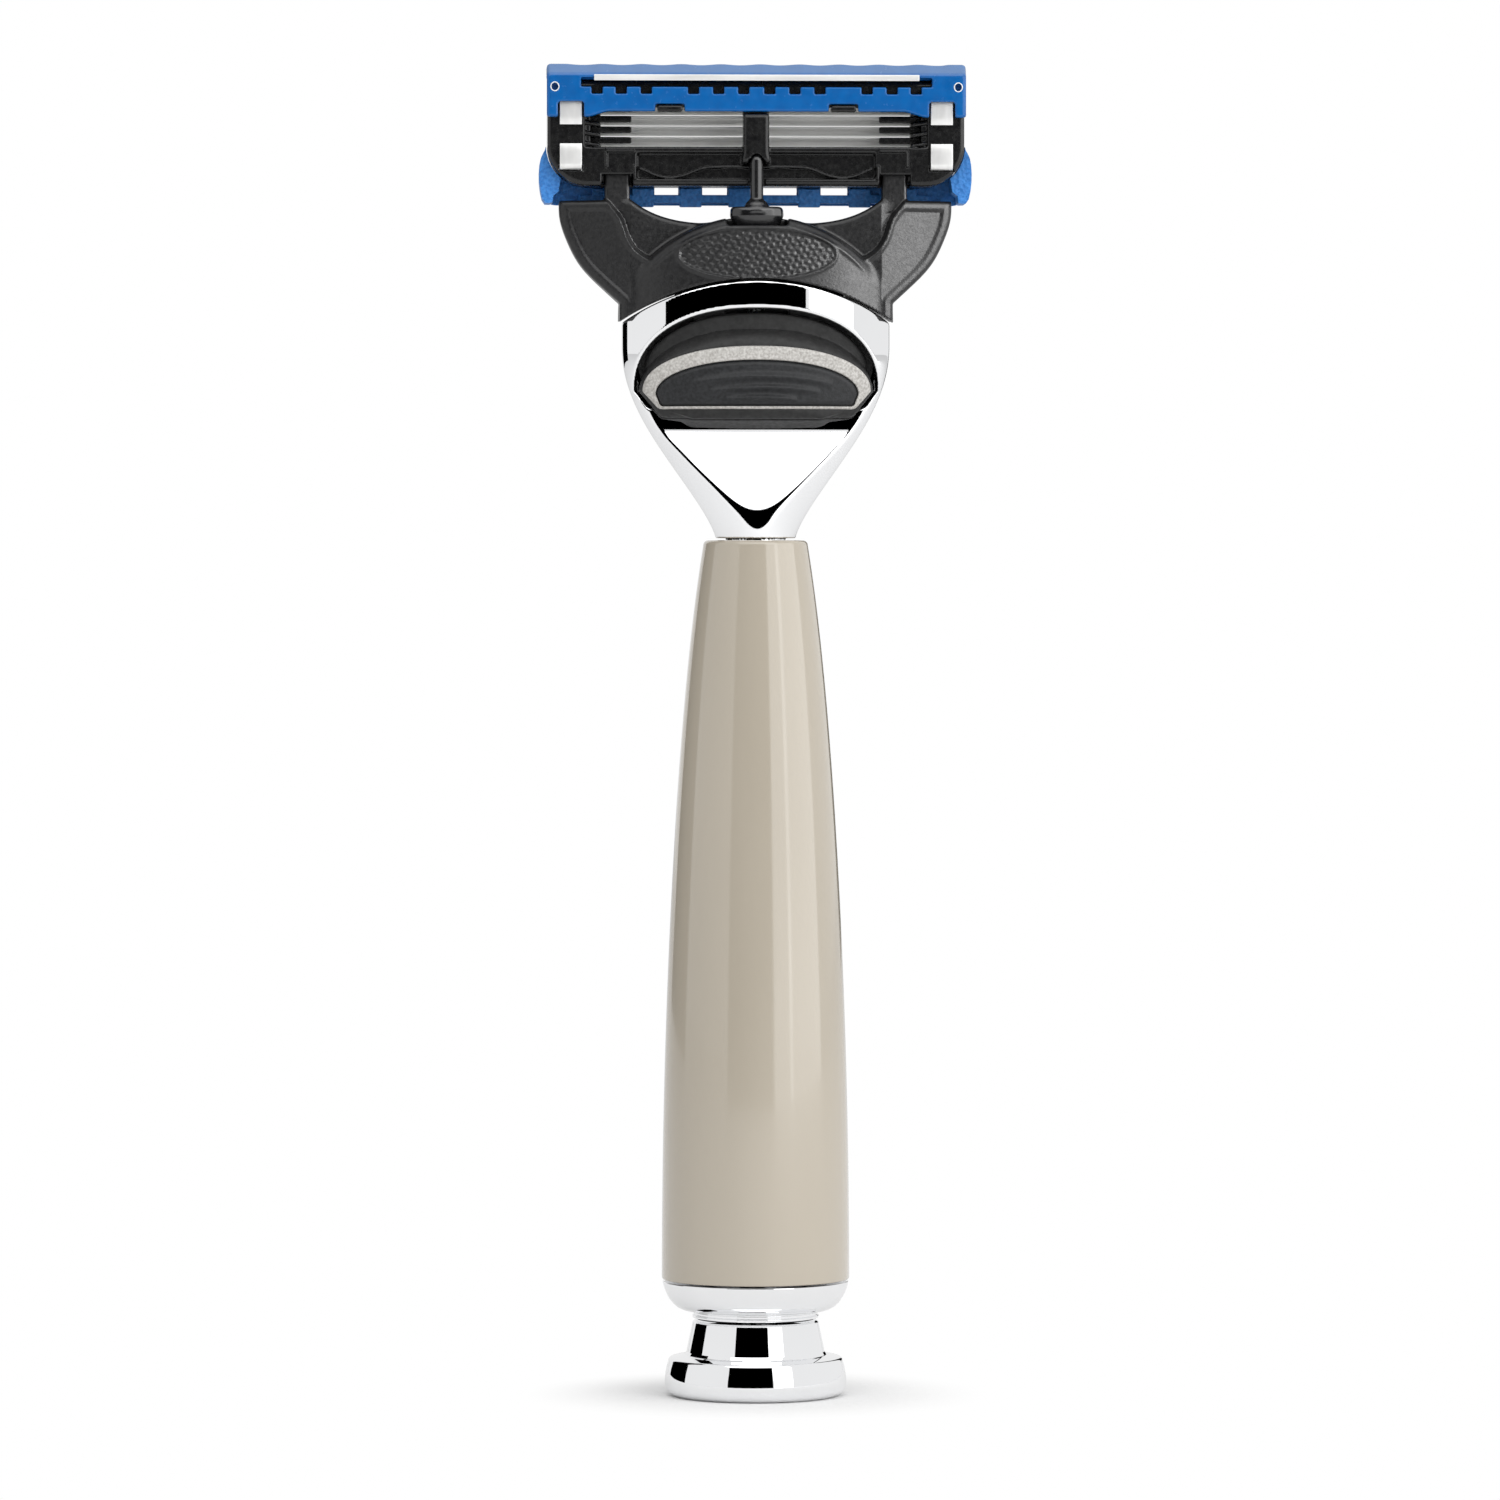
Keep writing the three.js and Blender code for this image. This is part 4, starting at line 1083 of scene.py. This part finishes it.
STAGE_CENTRE = Vector((0, 0, 0.065))
VEIL = (0.0093, 0.024)  # metres from the axis over which the floor's shading gives way to plain white
CAMERA_LENS, CAMERA_SENSOR = 187.0, 36.0
CAMERA_AZIMUTH, CAMERA_DISTANCE, CAMERA_HEIGHT = -2.5, 0.78, 0.084
CAMERA_AIM = Vector((-0.55 * MM, 0, 64.7 * MM))
WORLD_LIGHT = 0.88
FLOOR_HALF, FLOOR_SHADE = 3000, 0.72
VEIL_HALF, VEIL_HEIGHT = 2900, 0.05
CARD_DISTANCE, LIGHT_DISTANCE, DOME_DISTANCE = 1.2, 1.1, 2.6
CARDS = {  # azimuths and elevations in degrees
    "front_card": ((-38, 20), (-12, 23)),
    "left_card": ((-144, -104), (-8, 50)),
    "back_card": ((152, 168), (-8, 40)),
}


def dome_patch(name, azimuths, elevations, radius, steps=16):
    """Part of a sphere round the object. Azimuth 0 is in front, positive towards +X."""
    points, faces = [], []
    for i in range(steps + 1):
        for j in range(steps + 1):
            a = math.radians(azimuths[0] + (azimuths[1] - azimuths[0]) * i / steps)
            e = math.radians(elevations[0] + (elevations[1] - elevations[0]) * j / steps)
            way = Vector((math.sin(a) * math.cos(e), -math.cos(a) * math.cos(e), math.sin(e)))
            points.append((STAGE_CENTRE + way * radius) / MM)
            if i < steps and j < steps:
                k = i * (steps + 1) + j
                faces.append((k, k + 1, k + steps + 2, k + steps + 1))
    made = mesh_object(name, [tuple(p) for p in points], None, faces)
    made.visible_camera = False
    return made


def plain(name, colour):
    made, _, _, bsdf = graph(name)
    bsdf.inputs["Base Color"].default_value = (*colour, 1)
    bsdf.inputs["Roughness"].default_value = 0.9
    bsdf.inputs["Specular IOR Level"].default_value = 0.0
    return made


def black_card(name, azimuths, elevations):
    """A card that only shows in reflections."""
    made = dome_patch(name, azimuths, elevations, CARD_DISTANCE)
    dress(made, plain(name + "_black", (0, 0, 0)))
    made.visible_diffuse = made.visible_shadow = made.visible_transmission = False
    return made


def square(half, height):
    return [(u * half, v * half, height) for u, v in ((-1, -1), (1, -1), (1, 1), (-1, 1))]


def backdrop():
    """White that only the camera sees: a dome, and a veil over the floor that clears towards the foot."""
    made, nodes, links, bsdf = graph("backdrop_white")
    nodes.remove(bsdf)
    white, clear, mix = (nodes.new(f"ShaderNode{k}") for k in ("Emission", "BsdfTransparent", "MixShader"))
    where, length = nodes.new("ShaderNodeTexCoord"), nodes.new("ShaderNodeVectorMath")
    length.operation = "LENGTH"
    fade = nodes.new("ShaderNodeMapRange")
    fade.interpolation_type = "SMOOTHSTEP"
    fade.inputs["From Min"].default_value, fade.inputs["From Max"].default_value = VEIL
    links.new(where.outputs["Object"], length.inputs[0])
    links.new(length.outputs["Value"], fade.inputs["Value"])
    links.new(fade.outputs["Result"], mix.inputs["Fac"])
    links.new(clear.outputs["BSDF"], mix.inputs[1])
    links.new(white.outputs["Emission"], mix.inputs[2])
    links.new(mix.outputs["Shader"], nodes["Material Output"].inputs["Surface"])
    veil = mesh_object("floor_veil", square(VEIL_HALF, VEIL_HEIGHT), None, [(0, 1, 2, 3)])
    dome = dome_patch("backdrop", (0, 360), (-30, 90), DOME_DISTANCE, 32)
    dome.visible_camera = True
    for piece in (veil, dome):
        dress(piece, made)
        piece.visible_diffuse = piece.visible_glossy = False
        piece.visible_transmission = piece.visible_shadow = False


def softbox(name, azimuth, elevation, width, height, radiance):
    data = bpy.data.lights.new(name, "AREA")
    data.shape = "RECTANGLE"
    data.size, data.size_y = width, height
    data.energy = radiance * math.pi * width * height
    made = bpy.data.objects.new(name, data)
    bpy.context.scene.collection.objects.link(made)
    a, e = math.radians(azimuth), math.radians(elevation)
    way = Vector((math.sin(a) * math.cos(e), -math.cos(a) * math.cos(e), math.sin(e)))
    made.location = STAGE_CENTRE + way * LIGHT_DISTANCE
    made.rotation_mode = "QUATERNION"
    made.rotation_quaternion = way.to_track_quat("Z", "Y")
    made.visible_camera = False
    return made


def flagged(light, material, state):
    """Flags a light so that it leaves out (EXCLUDE), or only falls on (INCLUDE), the pieces of one finish."""
    pieces = bpy.data.collections.new(light.name + "_flag")
    for piece in bpy.data.objects:
        if piece.type == "MESH" and material.name in piece.data.materials:
            pieces.objects.link(piece)
    light.light_linking.receiver_collection = pieces
    for entry in pieces.collection_objects:
        entry.light_linking.link_state = state


def studio():
    world = bpy.data.worlds.new("studio")
    bpy.context.scene.world = world
    world.use_nodes = True
    world.node_tree.nodes["Background"].inputs["Color"].default_value = (1, 1, 1, 1)
    world.node_tree.nodes["Background"].inputs["Strength"].default_value = WORLD_LIGHT
    floor = mesh_object("floor", square(FLOOR_HALF, 0), None, [(0, 1, 2, 3)])
    dress(floor, plain("floor_white", (FLOOR_SHADE, FLOOR_SHADE, FLOOR_SHADE)))
    for name, (azimuths, elevations) in CARDS.items():
        black_card(name, azimuths, elevations)
    backdrop()
    key = softbox("key", 66, 14, width=1.0, height=1.1, radiance=1.6)
    flagged(key, CHROME, "EXCLUDE")
    kicker = softbox("kicker", 55, 8, width=0.8, height=0.9, radiance=6.0)
    flagged(kicker, BLACK, "INCLUDE")
    softbox("strip", 34, 14, width=0.5, height=1.1, radiance=1.3)
    softbox("over", 0, 47, width=1.5, height=0.9, radiance=1.3)
    bpy.context.scene.view_settings.view_transform = "Standard"
    bpy.context.scene.view_settings.look = "None"


def camera():
    data = bpy.data.cameras.new("camera")
    data.lens, data.sensor_width = CAMERA_LENS, CAMERA_SENSOR
    data.clip_start, data.clip_end = 0.05, 20
    made = bpy.data.objects.new("camera", data)
    bpy.context.scene.collection.objects.link(made)
    azimuth = math.radians(CAMERA_AZIMUTH)
    across, away = math.sin(azimuth) * CAMERA_DISTANCE, math.cos(azimuth) * CAMERA_DISTANCE
    made.location = (across, -away, CAMERA_HEIGHT)
    made.rotation_mode = "QUATERNION"
    made.rotation_quaternion = (made.location - CAMERA_AIM).to_track_quat("Z", "Y")
    bpy.context.scene.camera = made


studio()
camera()
